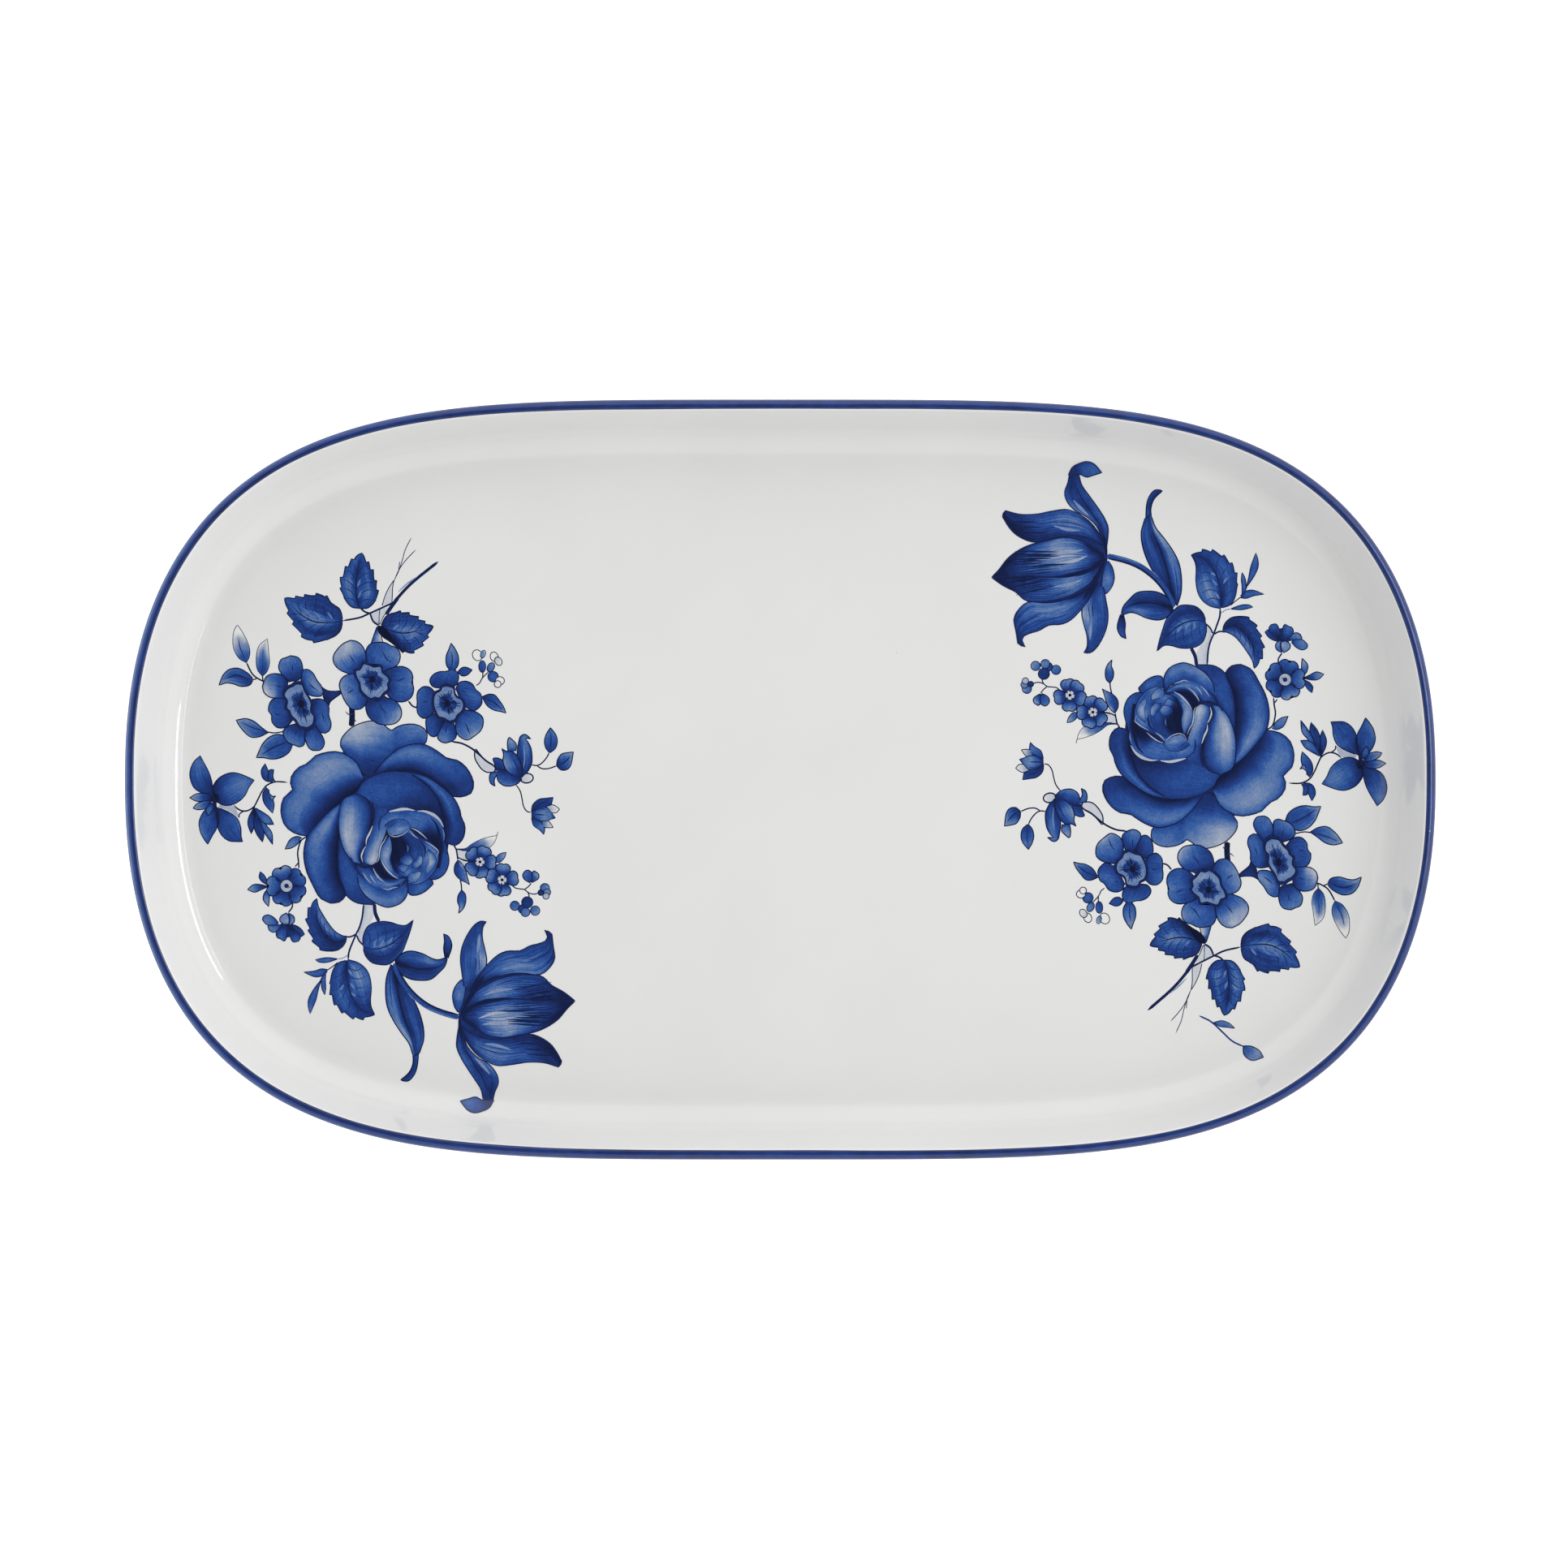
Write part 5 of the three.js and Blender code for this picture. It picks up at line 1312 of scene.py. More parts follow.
def draw_forget_me_nots(pen):
    pen.petal(
        "21,-10 23.6,-10.3 26,-9.9 28.6,-9.7 30,-9.4 31.2,-8 31.8,-6.4 32.1,-5.2",
        "21,-9.8 23.4,-9.7 25,-8.6 26.8,-7.6 28.4,-7 30.4,-6.5 31.8,-6.2 32.1,-5.2",
        "222 222 333 344 657 99w www www", 0.4, ink=0.55)
    pen.petal(
        "21.2,-10.2 21.4,-12 23,-12.7 24.6,-13", "22.4,-10.3 24,-10.4 25,-11 24.6,-13", "99 99 88",
        0.1, ink=0.6)
    pen.petal(
        "21.4,-12.8 20.5,-14.4 20.6,-16.4 22,-18 23.6,-18.8 24.5,-19.4",
        "21.6,-12.8 22.8,-14.2 23.6,-15.8 24,-17.6 24.5,-19.4", "228 229 235 245 456 677", 0.4,
        ink=0.9)
    pen.petal("22,-13 23,-14.2 23.6,-15.4", "23,-13.2 24.2,-14 24,-15", "99 99 99", 0.1, ink=0)
    pen.stem("20.3,-8.8 21,-10.2 21.4,-12.8", 0.4)
    pen.stem("21.2,-12 23,-12.9 24.8,-13.2", 0.35)
    pen.stem("22,-17.8 22.3,-19.4 22.4,-21", 0.35)
    pen.petal(
        "22.4,-20.8 21.5,-22.2 21.3,-23.8 21.8,-25.4 21.6,-27",
        "22.4,-20.8 23.4,-22 23.5,-24 22.8,-25.8 21.6,-27", "222 333 343 565 777", 0.3, ink=0.9)
    pen.petal(
        "31.2,-13.3 31.8,-11.8 33,-11 34.3,-10.8", "31.2,-13.4 32.6,-13.4 33.8,-12.2 34.3,-10.8",
        "333 344 566 777", 0.3, ink=0.8)
    pen.stem("29.4,-14.9 30.6,-15.3 31.6,-16", 0.4)
    pen.stem("35.6,-19.2 36.6,-20.2 38,-20.5 39.2,-20.7 40.2,-21.5 41.6,-21.9 43,-21.6", 0.32)
    pen.stem("39.2,-20.6 40.2,-19.9 41,-18.9", 0.32)
    pen.stem("40.1,-21.4 40.4,-22.4 40.2,-23.2", 0.32)
    for middle, lobes in (
            ((27.3, -13.3), (133, 68, -2, -80, 220)),
            ((33.2, -18.1), (85, 8, -82, 227, 160))):
        pen.ball(middle, 2.2, "111 111 111", ink=0)
        for angle in lobes:
            pen.lobe(middle, angle, 4.3, 4.0, "111 222 454 565 455", notch=0.04, start=0.2)
        pen.ball(middle, 1.25, "888 999 888", 0.4)
        pen.ball(middle, 0.42, "000 000", 0)
        for angle in lobes:
            pen.line(spoke(middle, angle + 36, 0.7, 2.4), 0.45, 0.12)
    pen.petal(
        "40.7,-18.9 39.2,-18 38.7,-16.8 39.4,-15.7 40.2,-15.5",
        "40.9,-18.6 41.3,-17.4 41.1,-16.2 40.2,-15.5", "222 433 543 554", 0.2)
    pen.petal(
        "41,-18.8 41.2,-17.4 41.2,-16.2 41.8,-15.7", "41.2,-18.8 42.8,-17.8 42.9,-16.6 41.8,-15.7",
        "222 336 367 454", 0.2)
    for at, radius, shades in (
            ((44.6, -20.3), 1.25, "333 455 676"),
            ((43.5, -21.5), 0.75, "111 122 222"),
            ((45.2, -21.4), 0.95, "455 566 666"),
            ((44.9, -22.4), 0.85, "677 788 888"),
            ((36.6, -25), 1.25, "334 345 454"),
            ((42, -26.3), 1.25, "333 456 676"),
            ((38.7, -25.9), 1.2, "222 233 343"),
            ((39.9, -24.1), 1.5, "111 222 222"),
            ((39.4, -26.7), 1.2, "344 455 565")):
        pen.ball(at, radius, shades, 0.8)


def draw_columbine(pen):
    pen.petal(
        "25.9,16.8 25.9,14.6 26.6,13 27.8,11.4 29.2,10.6 31,10.6",
        "26.2,16.8 27.6,15 29.2,13.4 30.8,12.4 31.4,11.6 31,10.6", "99 99 99 99", 0.1, ink=1.2)
    pen.stem("19.6,18.8 22.4,18.3 25,17 27,15.4 29,13.6 31.2,12.3", 0.5)
    pen.stem("41,12.6 42.4,12.4 43.6,12.9 45,14.4 45.8,15.9", 0.36)
    pen.stem("42.4,12.4 43.8,11.6 45.6,11.6 47.7,12.3", 0.36)
    pen.petal(
        "45.8,15.8 44.8,17.2 44.5,19 45,20.8 46.1,22.5",
        "46,15.8 47.4,17 47.9,18.8 47.5,20.6 46.1,22.5", "222 323 434 545 445", 0.4)
    pen.line("46,16.4 46.3,19 46.1,21.2", 0.26, 0.12)
    pen.petal(
        "47.7,12.3 48,14 49,15.4 50.4,15.8 52.2,16",
        "47.8,12.2 49,11.2 50.6,11.4 51.6,12.8 52.2,16", "111 222 534 656 777", 0.4)
    pen.line("48.4,12.4 50,13.4 51.4,14.8", 0.36, 0.1)
    pen.stem("36.8,7.4 38,5.6 38.5,3.6 38.9,1.6 39.8,0.2 41,-0.1", 0.34)
    pen.ball((39.8, 9), 1.7, "888 999 www", 1.3, turn=8, squash=0.74)
    # the bell, back petals first
    for left, right, shades in (
            ("31.8,10.8 30.2,10.4 29.8,9 30.2,7.6 31.3,6.9", "32.6,10.6 31.6,9.6 31.1,8.4 31.3,6.9",
             "223 344 444 333"),
            ("34.8,16 34.6,18 34.8,19.5 35.2,19.9", "36.8,16.2 37,18 36,19.2 35.2,19.9",
             "222 455 566 555"),
            ("31.6,11 31.2,12.8 30.8,14.2 32,14.4 33.4,13.8", "33,10.8 34,11.6 34,12.8 33.4,13.8",
             "111 222 333 222"),
            ("38.6,9.2 37.4,13 37.2,16 37.6,18.6 38.1,20.2 39.4,20.7 40.9,19.5",
             "39.8,10.4 41,12.6 41.2,14.6 40.9,17 40,18.8 39.3,19.6 40.9,19.5",
             "1111 2231 2242 2352 2453 3554 4433"),
            ("31.7,10 32.2,8.2 33.6,7.1 35.2,6.9 37,7.4 38.4,8.6",
             "32,11.6 34.4,11 36.4,9.8 38,9.4 38.4,8.6", "321 431 532 521 211"),
            ("36,9.6 34.6,10.8 33.8,12.2 33.4,13.8 33.6,15.4 33.1,16.9",
             "38.2,9 38.6,11 38.2,13 37.2,15 35.8,16.2 34.4,16.2 33.1,16.9",
             "1111 4321 6542 6532 5432 3332")):
        pen.petal(left, right, shades, 0.4)
    pen.line("38.9,11.6 39.2,14.6 39,18", 0.3, 0.62)
    pen.line("37.8,10 37,12.4 36,14.4", 0.3, 0.1)
    # the hanging bud
    for left, right, shades in (
            ("41,0.2 41.4,2 43,3.4 45,3.7 46.8,3.9", "41.4,0 43,1.2 45,1.2 46.2,1.8 46.8,3.9",
             "111 222 222 333"),
            ("45.2,1.6 46.8,1.9 48,1.2 48.5,0.7", "45.4,0 46.4,-0.2 47.6,-0.2 48.5,0.7",
             "777 999 www"),
            ("41.2,-1 43,-2 44.2,-2.8 44.6,-4.4 44.3,-6", "41,-1.6 41.6,-3.6 43.2,-4.8 44.3,-6",
             "111 233 454 333"),
            ("44,-2.2 45.6,-2.4 46.8,-4.1", "44.2,-4 45.4,-4.2 46.8,-4.1", "555 888 www"),
            ("41,0 43,1.2 45,1.2 46.2,0 47.4,-1.6", "41,-1.2 43,-2.2 44.8,-2.4 46,-2 47.4,-1.6",
             "111 343 465 555 222")):
        pen.petal(left, right, shades, 0.5, ink=0.8)
    for points in (
            "41.4,0.2 43.4,0.9 45,0.7", "41.4,-0.6 43.4,-0.7 45,-0.8",
            "41.6,-1.6 43.4,-2.6 44.2,-3.4", "41.8,1 43.4,2.2 45,2.6"):
        pen.line(points, 0.3, 0.1)


def draw_lower_leaves(pen):
    pen.lift = 0.05
    pen.petal(
        "-3.8,-24.6 -4,-27.4 -4.8,-30.4 -5.2,-32.4 -4.8,-34 -3.9,-35.2",
        "-0.9,-24.6 -1,-27.6 -2.4,-30.2 -3.6,-32.4 -3.9,-35.2", "899 899 899 999", 0.1, ink=0.0)
    pen.stem(
        "-3.7,-24.4 -4.1,-28 -4.8,-30.6 -5.8,-32.7 -6.6,-34.6 -7.6,-37.2 -7.9,-39.6", 0.5, 0.06)
    pen.stem("-0.9,-24.4 -0.6,-27 0.4,-29.3", 0.95, 0.04)
    pen.stem("-5.6,-32.8 -4.9,-34.4 -3.5,-35.8", 0.45)
    pen.stem("-5.8,-32.6 -7.4,-33.3 -9,-33.1", 0.45)
    pen.blade(
        "-8.2,-34.4 -9,-35.8 -10.6,-37 -12.8,-37.3 -14.8,-36.9 -16.4,-35.4 -17.4,-33.6 -18.3,-31 "
        "-18.8,-28.4 -18.4,-26.4 -17.4,-24.4 -16.2,-23.1",
        "-8.2,-34 -11,-34.7 -13.4,-33.2 -15.4,-30.6 -16.4,-27.6 -16.2,-23.1",
        "-8.2,-33.4 -10,-32.7 -11.6,-31.6 -13.2,-29.6 -14.6,-27.4 -15.8,-25.2 -16.2,-23.1",
        "11013 11034 22054 22154 22244 33333", teeth=8, only="left")
    pen.blade(
        "-8.6,-39.4 -10.8,-40.2 -12.2,-42.4 -12.7,-45 -12.6,-47.6 -11.8,-50.2 -10.4,-52.2 "
        "-8.8,-53.6 -6.6,-54.6 -4,-55 -0.8,-54",
        "-8.2,-39.5 -8.2,-43 -7.8,-46.5 -6.6,-50 -4.2,-52.8 -0.8,-54",
        "-7.8,-39.4 -5.2,-40.2 -3.2,-41.8 -2.1,-44 -1.7,-47 -1.9,-50 -1.7,-52 -0.8,-54",
        "22022 23053 23163 24253 23132 22121 11111", teeth=9, only="left",
        lit=("-7.8,-42 -6.6,-43.8", "-7.4,-45.6 -6,-47.2", "-9,-46 -10,-47.6",
             "-7,-48.2 -5.8,-49.2"))
    pen.blade(
        "-3.9,-35.4 -3.9,-33.4 -3,-31 -1.4,-29.7 1,-29.2 3.4,-29.4 5.6,-30.1 7.6,-30.2 9.5,-28.8",
        "-3.9,-36 -1.5,-36.5 1,-36.3 4,-35 6.6,-32.8 8.2,-30.8 9.5,-28.8",
        "-3.8,-36.6 -3.2,-38.4 -1.6,-40.1 0.6,-40.7 3,-40.6 5,-39 6.6,-37.2 7.6,-34.8 8.6,-32 "
        "9.5,-28.8", "22111 23311 23512 22412 22213 22122 11111",
        lit=("-0.9,-36.2 -0.7,-34.2", "0.8,-36 1.6,-34", "2.8,-35.2 4,-33.4"))


def draw_small_sprig(pen):
    pen.stem("-8,-38.2 -9.4,-39 -10.8,-39.2", 0.2, 0.5)
    pen.stem("-10.6,-40.1 -12,-41.2 -13.6,-42.3", 0.28)
    pen.stem("-14.2,-43 -15.2,-44.8", 0.35, 0.2)
    for left, right in (
            ("-10.8,-39.1 -13.4,-38.8 -15.4,-39.1 -16.6,-39.4",
             "-10.8,-39.3 -13.4,-40.1 -15.4,-40.1 -16.6,-39.4"),
            ("-13.4,-42 -15,-41.8 -17,-42.4 -19.7,-42.7",
             "-13.4,-42.6 -15,-43.8 -17,-43.9 -19.7,-42.7"),
            ("-14.2,-42.8 -15,-44.6 -14.9,-47 -14.1,-48.8",
             "-13.8,-42.8 -13.9,-45 -13.8,-47 -14.1,-48.8"),
            ("-15,-44.6 -17,-47.2 -18.4,-49.8 -18.5,-52 -18,-53.8",
             "-15,-44.6 -15.8,-47.4 -16.4,-50 -17.2,-52 -18,-53.8")):
        pen.petal(left, right, "222 343 343 454", 0.3, ink=0.7, rows=14, columns=8)


def draw_tulip(pen):
    stem = [(4.2, -40.4), (6.8, -45.4), (9.6, -48.8), (13, -51.6), (17, -53.4), (22, -54.9)]
    pen.line("4.1,-40.6 6.2,-45.2 9,-49 12.8,-52.4", 0.5, 0.9, 0.3)
    pen.stem(stem, 1.5, 0.3)
    pen.line("5,-41 7.4,-45.4 10,-48.5 13.3,-51.1 17.2,-52.9 22,-54.2", 0.55, 0.06, 0.1)
    pen.line("12,-51.8 16.8,-53.8 21.4,-55.4", 0.35, 0.5, 0.3)
    pen.lift = 0.05
    # a dark ground under the petals' feet
    pen.petal(
        "21.6,-54 22,-48 23.4,-44.6 27,-43.2 33,-41.8 40,-42.2",
        "21.8,-58 24,-61 29,-62 35,-61.6 39,-60.6 40.6,-59.6", "111 111 111", 0.2, ink=0)
    pen.petal(
        "21.4,-53.4 20.4,-51.6 20,-49 20.6,-46.8 22,-45 23,-44.6",
        "21.8,-53.4 22.6,-51.4 23.2,-49 23.4,-46.8 23,-44.6", "222 233 354 444 333", 0.4)
    pen.petal(
        "23,-46.6 22.5,-43 22.1,-39.6 22.4,-36.6 23.4,-33.8 24.8,-31.4 26.2,-29.8 27.6,-29.1 "
        "29,-29.3",
        "25.6,-46.8 27.4,-44.6 28.6,-42.4 29.1,-39.6 28.6,-36.6 28,-34 27.9,-32 28.2,-30.4 "
        "29,-29.3", "22110 23223 23255 23366 22355 22244 22222 11111", 0.7)
    pen.petal(
        "24.4,-47.6 27,-43.4 29.6,-40.4 32,-38.2 34.6,-37.1 38,-37 40.6,-35.7 43.4,-35 45.2,-34 "
        "45.1,-32.4 44.3,-32 44.9,-31.4 46.5,-32.6",
        "24.6,-48.6 28,-46 31,-44.4 35,-43.2 39,-43 43,-43.4 45.4,-42 47.2,-39.2 46.8,-35.6 "
        "46.5,-32.6", "0000 0000 2221 2343 2454 2454 2343 2221 1111 1111", 0.8)
    pen.petal(
        "22.6,-52.6 25,-49 28,-46.6 32,-44.6 37,-43.4 42,-43.4 44.4,-44.2 46.4,-46.2 49.6,-48 "
        "52.6,-50.3", "22.6,-53.4 26,-51.6 30,-50.6 36,-50 42,-50.4 48,-50.6 52.6,-50.3",
        "0000 1210 2443 3554 2443 1322 1221 0110 0000 0000", 1.0, rows=34, columns=20)
    pen.petal(
        "22.4,-53.6 26,-51.4 30,-50.4 36,-49.8 42,-50.2 48,-50.4 52.6,-50.5",
        "22.6,-55.4 26,-57.4 29,-59.4 33,-60.2 37,-59.6 41,-58.9 44.6,-57.6 48,-55.4 50.6,-52.4 "
        "52.6,-50.5", "00000 01210 03432 15653 15664 14542 13431 12210 11100 00000 00000", 1.0,
        rows=38, columns=24)
    pen.petal(
        "22.2,-57 26,-59.6 30,-60.6 34,-60.4 38,-59.8 41,-59.3 43.6,-60.2 46,-61.8 47.6,-63.8 "
        "48.6,-65.6 49.1,-66.8 48.2,-68",
        "22.4,-58.6 24,-61.6 26.2,-64.4 29,-66.4 32,-67.6 36,-67.3 40,-66.7 44,-66.8 46.4,-67.4 "
        "48.2,-68", "00000 12210 23431 13543 12443 11332 01232 00122 00111 00111", 1.0, rows=34,
        columns=20)
    pen.petal(
        "21.7,-57 21.2,-60 21.1,-62.6 22.2,-65.4 24,-68.4 26,-71.4 27.6,-74 28.2,-76.8",
        "22.6,-59 24,-62.6 26.6,-65.4 29.6,-67.2 31.6,-69.6 32.2,-72.2 31.2,-74.8 30.8,-77.2",
        "00000 12111 23133 33235 32135 32223 22112 11111", 0.7)
    pen.petal(
        "31,-76 28.2,-76.8 26.2,-76 24.4,-76.4 22.1,-77",
        "31,-76.8 29.9,-78.7 28.2,-79.6 26,-80.1 24,-79.3 22.1,-77", "1111 1111 3332 3443 3332",
        0.4)
    for points, width, shade in (
            ("22,-54.6 24,-50.4 26.4,-46.8 28.4,-43.6", 1.3, 0.0),
            ("22.4,-54 26.6,-51.2 32,-50 37,-49.7", 1.2, 0.0),
            ("21.7,-54.6 22,-57.6 22.4,-60.6", 1.0, 0.0),
            ("22.6,-55 24.6,-56.4 27,-58.2", 1.1, 0.02),
            ("24,-49.6 27,-46.6 31,-44.2 37,-43.1", 0.5, 0.02),
            ("25.8,-43 26.2,-40.6 26,-38.4", 0.3, 0.06),
            ("27,-42.6 27.2,-40.4 26.8,-38", 0.24, 0.1),
            ("26.6,-37.6 27,-35 27.2,-32.6", 0.9, 0.6),
            ("33,-42 38,-41 42,-41", 1.0, 0.54),
            ("32,-40 37,-38.6 42,-38.2", 0.4, 0.18),
            ("40,-39.6 43,-38.8 45.6,-37.2", 0.3, 0.1),
            ("28.6,-48.8 32,-47.6 36,-47.2", 1.0, 0.6),
            ("31,-46.4 35,-45.2 39,-45", 0.3, 0.14),
            ("27,-55 30.6,-53.8 34.6,-53.4", 0.9, 0.74),
            ("28,-56.6 31.4,-56.4 35,-56.8", 0.9, 0.66),
            ("29.4,-58.6 32.4,-58.8 35.4,-58.8", 0.5, 0.56),
            ("28.6,-61.8 31.6,-62.2 35.6,-63.4", 0.9, 0.6),
            ("25,-61 28,-63 32,-64.2 37,-64.4", 0.35, 0.12),
            ("22.8,-61.6 25,-66 27.8,-70.6 29.4,-74.6", 0.5, 0.06),
            ("26,-65.6 28,-67.6 30,-70", 0.9, 0.6)):
        pen.line(points, width, shade, 0.5)
    rng = np.random.default_rng(5)
    for step in range(17):
        share = (step + 0.5) / 17
        end = (45 + rng.uniform(-2, 4.4) * (1 - abs(2 * share - 1) * 0.6), -45 - 12.4 * share)
        reach = rng.uniform(0.3, 0.62)
        start = (end[0] - 20 * reach, end[1] + (-54.4 - end[1]) * reach * 0.45)
        middle = ((start[0] + end[0]) / 2, (start[1] + end[1]) / 2 + rng.uniform(-0.3, 0.3))
        pen.line([start, middle, end], rng.uniform(0.3, 0.8), rng.uniform(0.0, 0.1), 0.6)
    for end in ((45.6, -62), (47, -63.6), (47.6, -65)):
        pen.line([(end[0] - 8, end[1] + 0.4), end], 0.6, 0.04, 0.6)


def draw_curling_leaves(pen):
    pen.petal(
        "9.4,-64.4 9.4,-67 8.4,-69.4 6.2,-71.4",
        "10.9,-64.4 10.6,-67.6 9.8,-70 8.2,-71.7 6.2,-71.6", "233 123 123 122", 0.4)
    pen.blade(
        "3.6,-40.6 2.4,-44 2.1,-48 2.6,-52 4.2,-55.6 6.4,-59 8.4,-61.8 9.5,-65.2",
        "4.2,-41 5,-46 6,-51 7.4,-56 9.2,-60.4 10,-65",
        "4.8,-41.4 7.2,-45.8 9.4,-49.6 11.2,-53.6 12.2,-57.4 12.3,-60.6 11.6,-63 10.9,-65",
        "11011 33011 44122 45132 55132 66132 56233 33222", streak=0.7, veins=0)
    pen.petal(
        "18,-39 17.6,-36.6 17.8,-34.4 17.6,-32.5",
        "18.8,-39 19.7,-36.4 19.7,-34.8 18.9,-33.2 17.6,-32.5", "000 122 233 333", 0.3)
    pen.blade(
        "4.6,-39.8 6,-38.2 7.4,-37.3 9.4,-37.1 12,-37.8 14.4,-39 16.2,-39.4 18.2,-38.8",
        "4.6,-40 7.4,-41 11,-41.8 15,-41.6 17.4,-40.6 18.4,-38.7",
        "4.6,-40.2 6.2,-43 8.6,-44.5 11.4,-44.9 14.2,-44.6 16.4,-42.8 18,-41 18.7,-38.6",
        "00000 32022 33122 34123 45123 34233 22222", streak=0.6, veins=0)


def draw_stray_bud(pen):
    pen.stem("2.6,68.8 -0.6,70.6 -3.6,73.6 -6,76 -9,77.6", 0.45, 0.25)
    pen.petal(
        "-1.2,70.8 -2.8,71.9 -5,72.3 -6.8,72.6", "-1.2,70.8 -3.4,70.4 -5.4,71.2 -6.8,72.6",
        "34 45 56", 0.5, ink=0.7)
    pen.petal(
        "-8.8,77.4 -9,79.8 -11,81.3 -14,80.6", "-8.8,77.4 -11,77.6 -13,78.8 -14,80.6",
        "333 445 556 445", 0.5)


# The motif's CAD node, how it is drawn, and what it is drawn over.
MOTIFS = {
    "lower_leaves": draw_lower_leaves,
    "small_leaf_sprig": draw_small_sprig,
    "curling_leaves": draw_curling_leaves,
    "tulip": draw_tulip,
    "top_leaves": draw_top_leaves,
    "primrose_sprig": draw_primrose_sprig,
    "trefoil_sprig": draw_trefoil,
    "auricula_sprig": draw_auricula,
    "forget_me_nots": draw_forget_me_nots,
    "columbine_sprig": draw_columbine,
    "rose": draw_rose,
    "primrose_inner": draw_primrose_inner,
    "primrose_outer": draw_primrose_outer,
    "primrose_middle": draw_primrose_middle,
}


def bouquet_place(side):
    """Where a bouquet's rose lies, the way that the bouquet is turned, and its scale."""
    low, high = (np.array(corner)[:2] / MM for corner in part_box("left_rose"))
    left, right, down = ROSE_REACH
    scale = (high[0] - low[0]) / (left + right)
    origin = low + np.array([left, down]) * scale
    if side == "left":
        return origin, np.eye(2), scale
    middles = [np.array([np.mean(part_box(f"{end}_{name}"), axis=0)[:2] / MM for name in MOTIFS])
               for end in ("left", "right")]
    here, there = (points.mean(axis=0) for points in middles)
    first, second = middles[0] - here, middles[1] - there
    turn = math.atan2((first[:, 0] * second[:, 1] - first[:, 1] * second[:, 0]).sum(),
                      (first * second).sum())
    turned = np.array([[math.cos(turn), -math.sin(turn)], [math.sin(turn), math.cos(turn)]])
    return there + turned @ (origin - here), turned, scale


def lay_motif(drawn, side, node, material):
    """A copy of a drawn motif, laid on the china in its bouquet's place."""
    _, decor = settings()
    obj = drawn.copy()
    obj.data = drawn.data.copy()
    bpy.context.collection.objects.link(obj)
    obj.name = obj.data.name = f"{node}_print"
    origin, turned, scale = bouquet_place(side)
    points = get_vertices(obj)
    plan = origin + scale * points[:, :2] @ turned.T
    level = points[:, 2]
    china = surface_z(plan)
    clear = COVE_LIFT * np.clip((china - FLOOR_Z) / 0.1, 0, 1)
    height = np.where(level > 0, level * decor.layer + clear, -0.01)
    put_vertices(obj, np.c_[plan, china + height] * MM)
    edit(obj, face_outwards)
    smooth_faces(obj, 30)
    finish_piece(obj, material, "print_enamel", node)


def make_motif(name, draw, sides=("left", "right")):
    pen = Drawing()
    draw(pen)
    drawn = pen.finish(name)
    material = bpy.data.materials.get("cobalt_print") or print_material()
    for side in sides:
        lay_motif(drawn, side, f"{side}_{name}", material)
    bpy.data.objects.remove(drawn)


# ---------------------------------------------------------------------------------------------
# stage


def make_floor():
    """A plain white table, lit a little from below so that it stays white round the platter."""
    bpy.ops.object.select_all(action="DESELECT")
    bpy.ops.mesh.primitive_plane_add(size=12)
    floor = bpy.context.object
    floor.name = "table"
    material, _, shader = new_material("white_table", 0.6)
    shader.inputs["Base Color"].default_value = (0.93, 0.93, 0.93, 1)
    shader.inputs["Specular IOR Level"].default_value = 0.0
    shader.inputs["Emission Color"].default_value = (1, 1, 1, 1)
    shader.inputs["Emission Strength"].default_value = 0.5
    floor.data.materials.append(material)


def make_sky(strength):
    """Soft light from all round, dimmer overhead so that the glaze stays clear, fuller from +X."""
    world = bpy.data.worlds.new("studio")
    bpy.context.scene.world = world
    world.use_nodes = True
    pen = Tree(world.node_tree)
    background = world.node_tree.nodes["Background"]
    background.inputs["Color"].default_value = (1, 1, 1, 1)
    split = pen.node("ShaderNodeSeparateXYZ")
    pen.link(pen.node("ShaderNodeTexCoord").outputs["Generated"], split.inputs[0])
    ring = pen.remap(split.outputs["Z"], 0.78, 0.93, 1.0, 0.06, soft=True)
    low = pen.remap(split.outputs["Z"], 0.0, 0.5, 0.8, 1.0)
    side = pen.math("ADD", pen.math("MULTIPLY", split.outputs["X"], 0.17),
                    pen.math("MULTIPLY", split.outputs["Y"], 0.1))
    level = pen.math("MULTIPLY", pen.math("ADD", side, 1.0), pen.math("MULTIPLY", ring, low))
    pen.link(pen.math("MULTIPLY", level, strength), background.inputs["Strength"])


def add_light(name, azimuth, tilt, distance, size, power):
    """An area light that looks at the platter, tilted from straight overhead."""
    turn, lean = math.radians(azimuth), math.radians(tilt)
    bpy.ops.object.light_add(type="AREA")
    light = bpy.context.object
    light.name = name
    light.data.shape = "RECTANGLE"
    light.data.size, light.data.size_y = size
    light.data.energy = power
    light.location = (distance * math.sin(lean) * math.cos(turn),
                      distance * math.sin(lean) * math.sin(turn), distance * math.cos(lean))
    light.rotation_euler = (0, lean, turn)


def make_camera(height, width):
    """Straight above the platter's lip."""
    data = bpy.data.cameras.new("camera")
    camera = bpy.data.objects.new("camera", data)
    bpy.context.collection.objects.link(camera)
    camera.location = (0.00098, -0.00119, height)
    data.sensor_width = 36
    data.lens = 36 * (height - RIM_Z * MM) / width
    data.clip_end = 20
    bpy.context.scene.camera = camera


# ---------------------------------------------------------------------------------------------
# operators


class PLATTER_OT_shades(bpy.types.Operator):
    """Make the shader groups that the glaze and the print share"""

    bl_idname = "platter.shades"
    bl_label = "Glaze and Print Groups"

    def execute(self, context):
        ripple_group()
        speck_group()
        cobalt_group(context.scene.platter_body.ground)
        return {"FINISHED"}


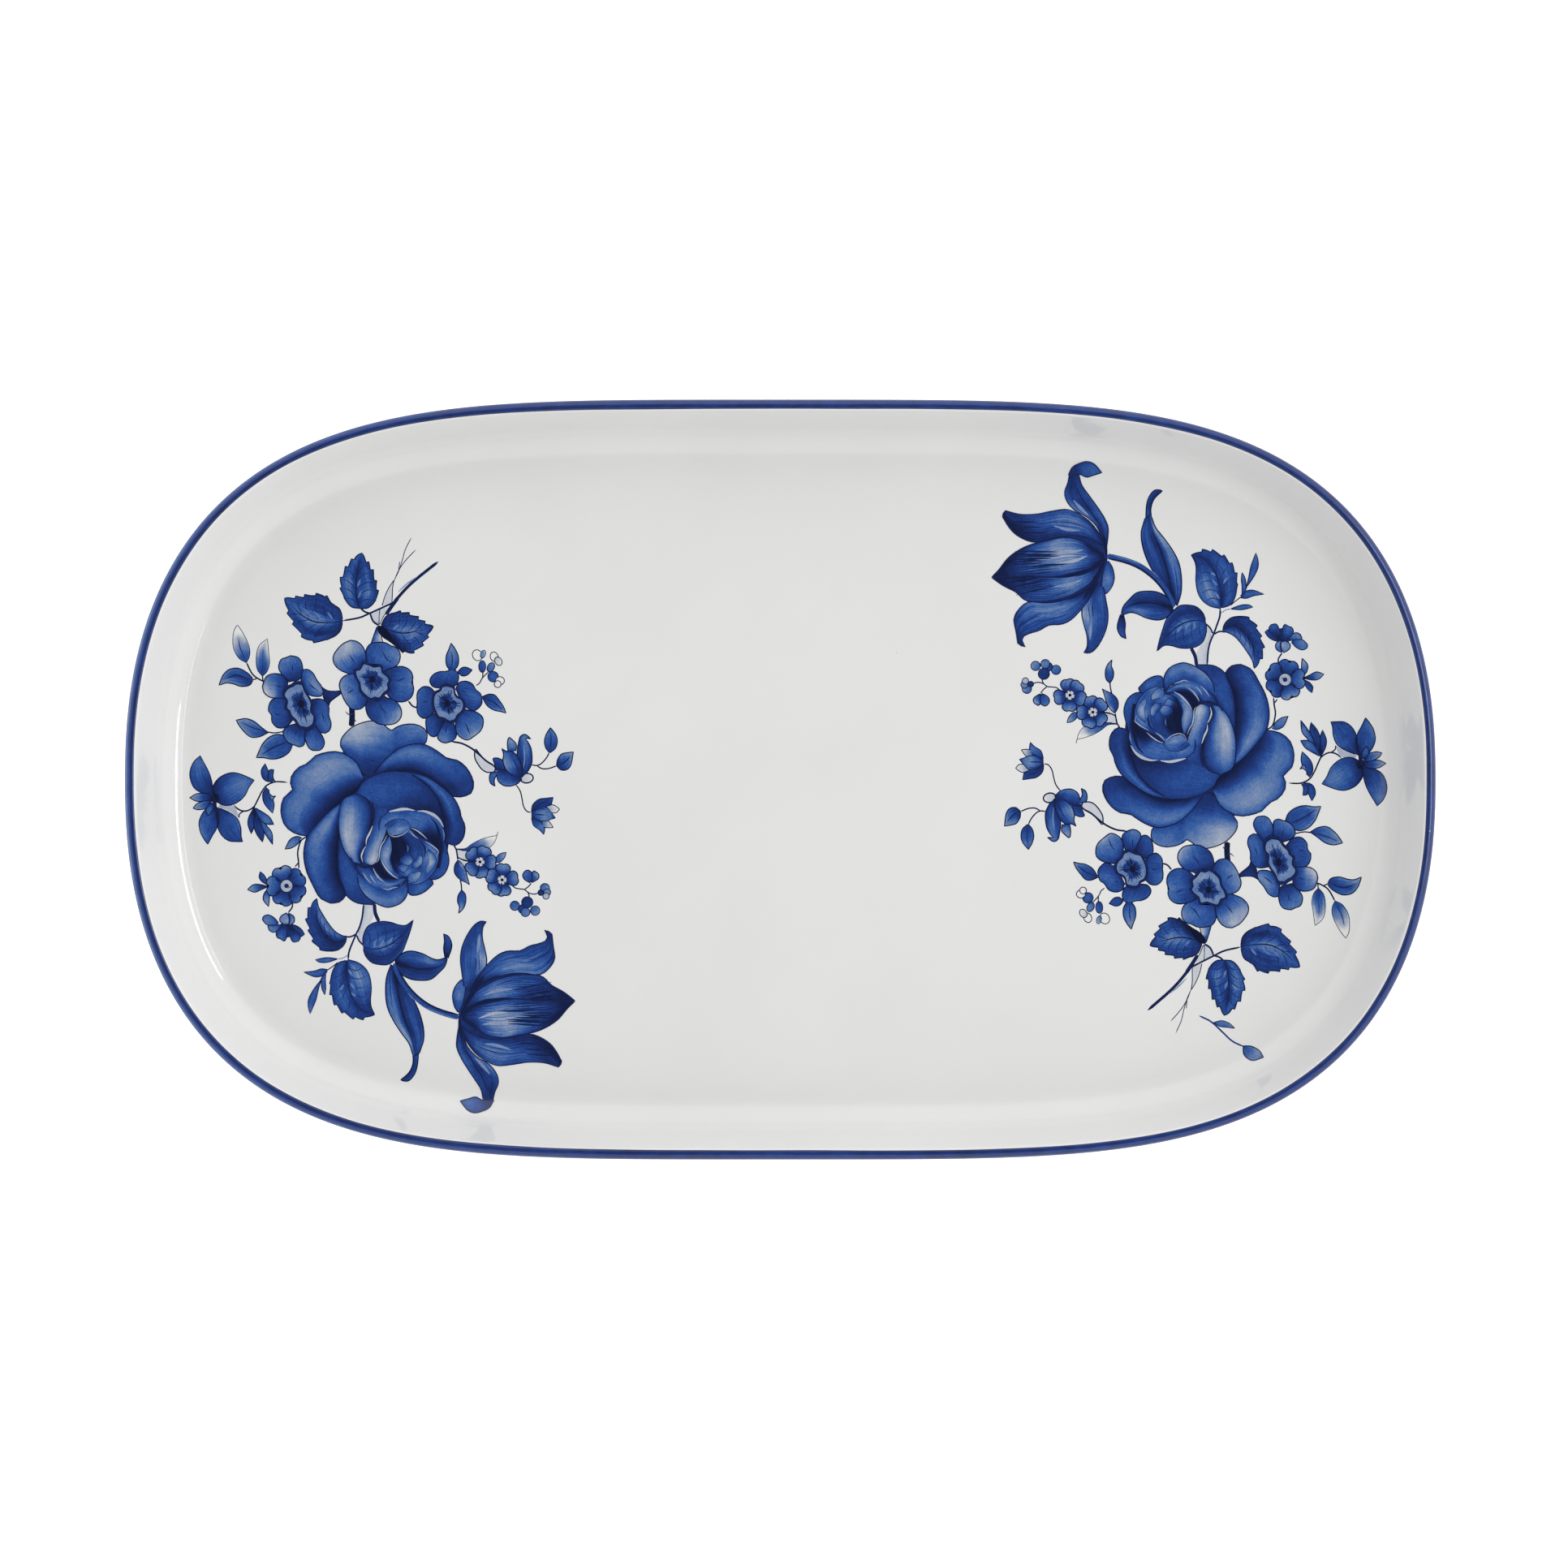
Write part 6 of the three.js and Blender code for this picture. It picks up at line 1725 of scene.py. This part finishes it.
class PLATTER_OT_body(bpy.types.Operator):
    """Make the glazed china body"""

    bl_idname = "platter.body"
    bl_label = "China Body"

    def execute(self, context):
        make_body()
        return {"FINISHED"}


class PLATTER_OT_band(bpy.types.Operator):
    """Make the blue band over the lip"""

    bl_idname = "platter.band"
    bl_label = "Lip Band"

    def execute(self, context):
        make_band()
        return {"FINISHED"}


class PLATTER_OT_foot(bpy.types.Operator):
    """Make the bare foot ring"""

    bl_idname = "platter.foot"
    bl_label = "Foot Ring"

    def execute(self, context):
        make_foot()
        return {"FINISHED"}


class PLATTER_OT_bouquets(bpy.types.Operator):
    """Draw the motifs once and lay them at both ends"""

    bl_idname = "platter.bouquets"
    bl_label = "Bouquets"

    def execute(self, context):
        Drawing.laid.clear()
        for name, draw in MOTIFS.items():
            make_motif(name, draw)
        make_motif("stray_bud", draw_stray_bud, ("right",))
        return {"FINISHED"}


class PLATTER_OT_stage(bpy.types.Operator):
    """Make the table, the light and the camera"""

    bl_idname = "platter.stage"
    bl_label = "Stage"

    def execute(self, context):
        stage = context.scene.platter_stage
        make_floor()
        make_sky(stage.sky)
        add_light("window", 14, 38, 1.6, (0.13, 0.74), stage.key_power)
        add_light("window_bar", 6, 22, 1.6, (0.05, 0.7), stage.key_power * 0.12)
        make_camera(stage.camera_height, stage.view_width)
        context.scene.view_settings.view_transform = "Standard"
        return {"FINISHED"}


class PLATTER_PT_panel(bpy.types.Panel):
    """Lists the platter's pieces in the sidebar"""

    bl_idname = "PLATTER_PT_panel"
    bl_label = "China Platter"
    bl_space_type = "VIEW_3D"
    bl_region_type = "UI"
    bl_category = "Platter"

    def draw(self, context):
        for group in (context.scene.platter_body, context.scene.platter_print,
                      context.scene.platter_stage):
            for name in group.__annotations__:
                self.layout.prop(group, name)
        for operator in STEPS:
            self.layout.operator(operator.bl_idname)


STEPS = (PLATTER_OT_shades, PLATTER_OT_body, PLATTER_OT_band, PLATTER_OT_foot,
         PLATTER_OT_bouquets, PLATTER_OT_stage)
CLASSES = (BodySettings, PrintSettings, StageSettings, *STEPS, PLATTER_PT_panel)


def register():
    for cls in CLASSES:
        bpy.utils.register_class(cls)
    bpy.types.Scene.platter_body = PointerProperty(type=BodySettings)
    bpy.types.Scene.platter_print = PointerProperty(type=PrintSettings)
    bpy.types.Scene.platter_stage = PointerProperty(type=StageSettings)


def unregister():
    del bpy.types.Scene.platter_stage
    del bpy.types.Scene.platter_print
    del bpy.types.Scene.platter_body
    for cls in reversed(CLASSES):
        bpy.utils.unregister_class(cls)


def main():
    register()
    bpy.ops.platter.shades()
    bpy.ops.platter.body()
    bpy.ops.platter.band()
    bpy.ops.platter.foot()
    bpy.ops.platter.bouquets()
    bpy.ops.platter.stage()


if __name__ == "__main__":
    main()
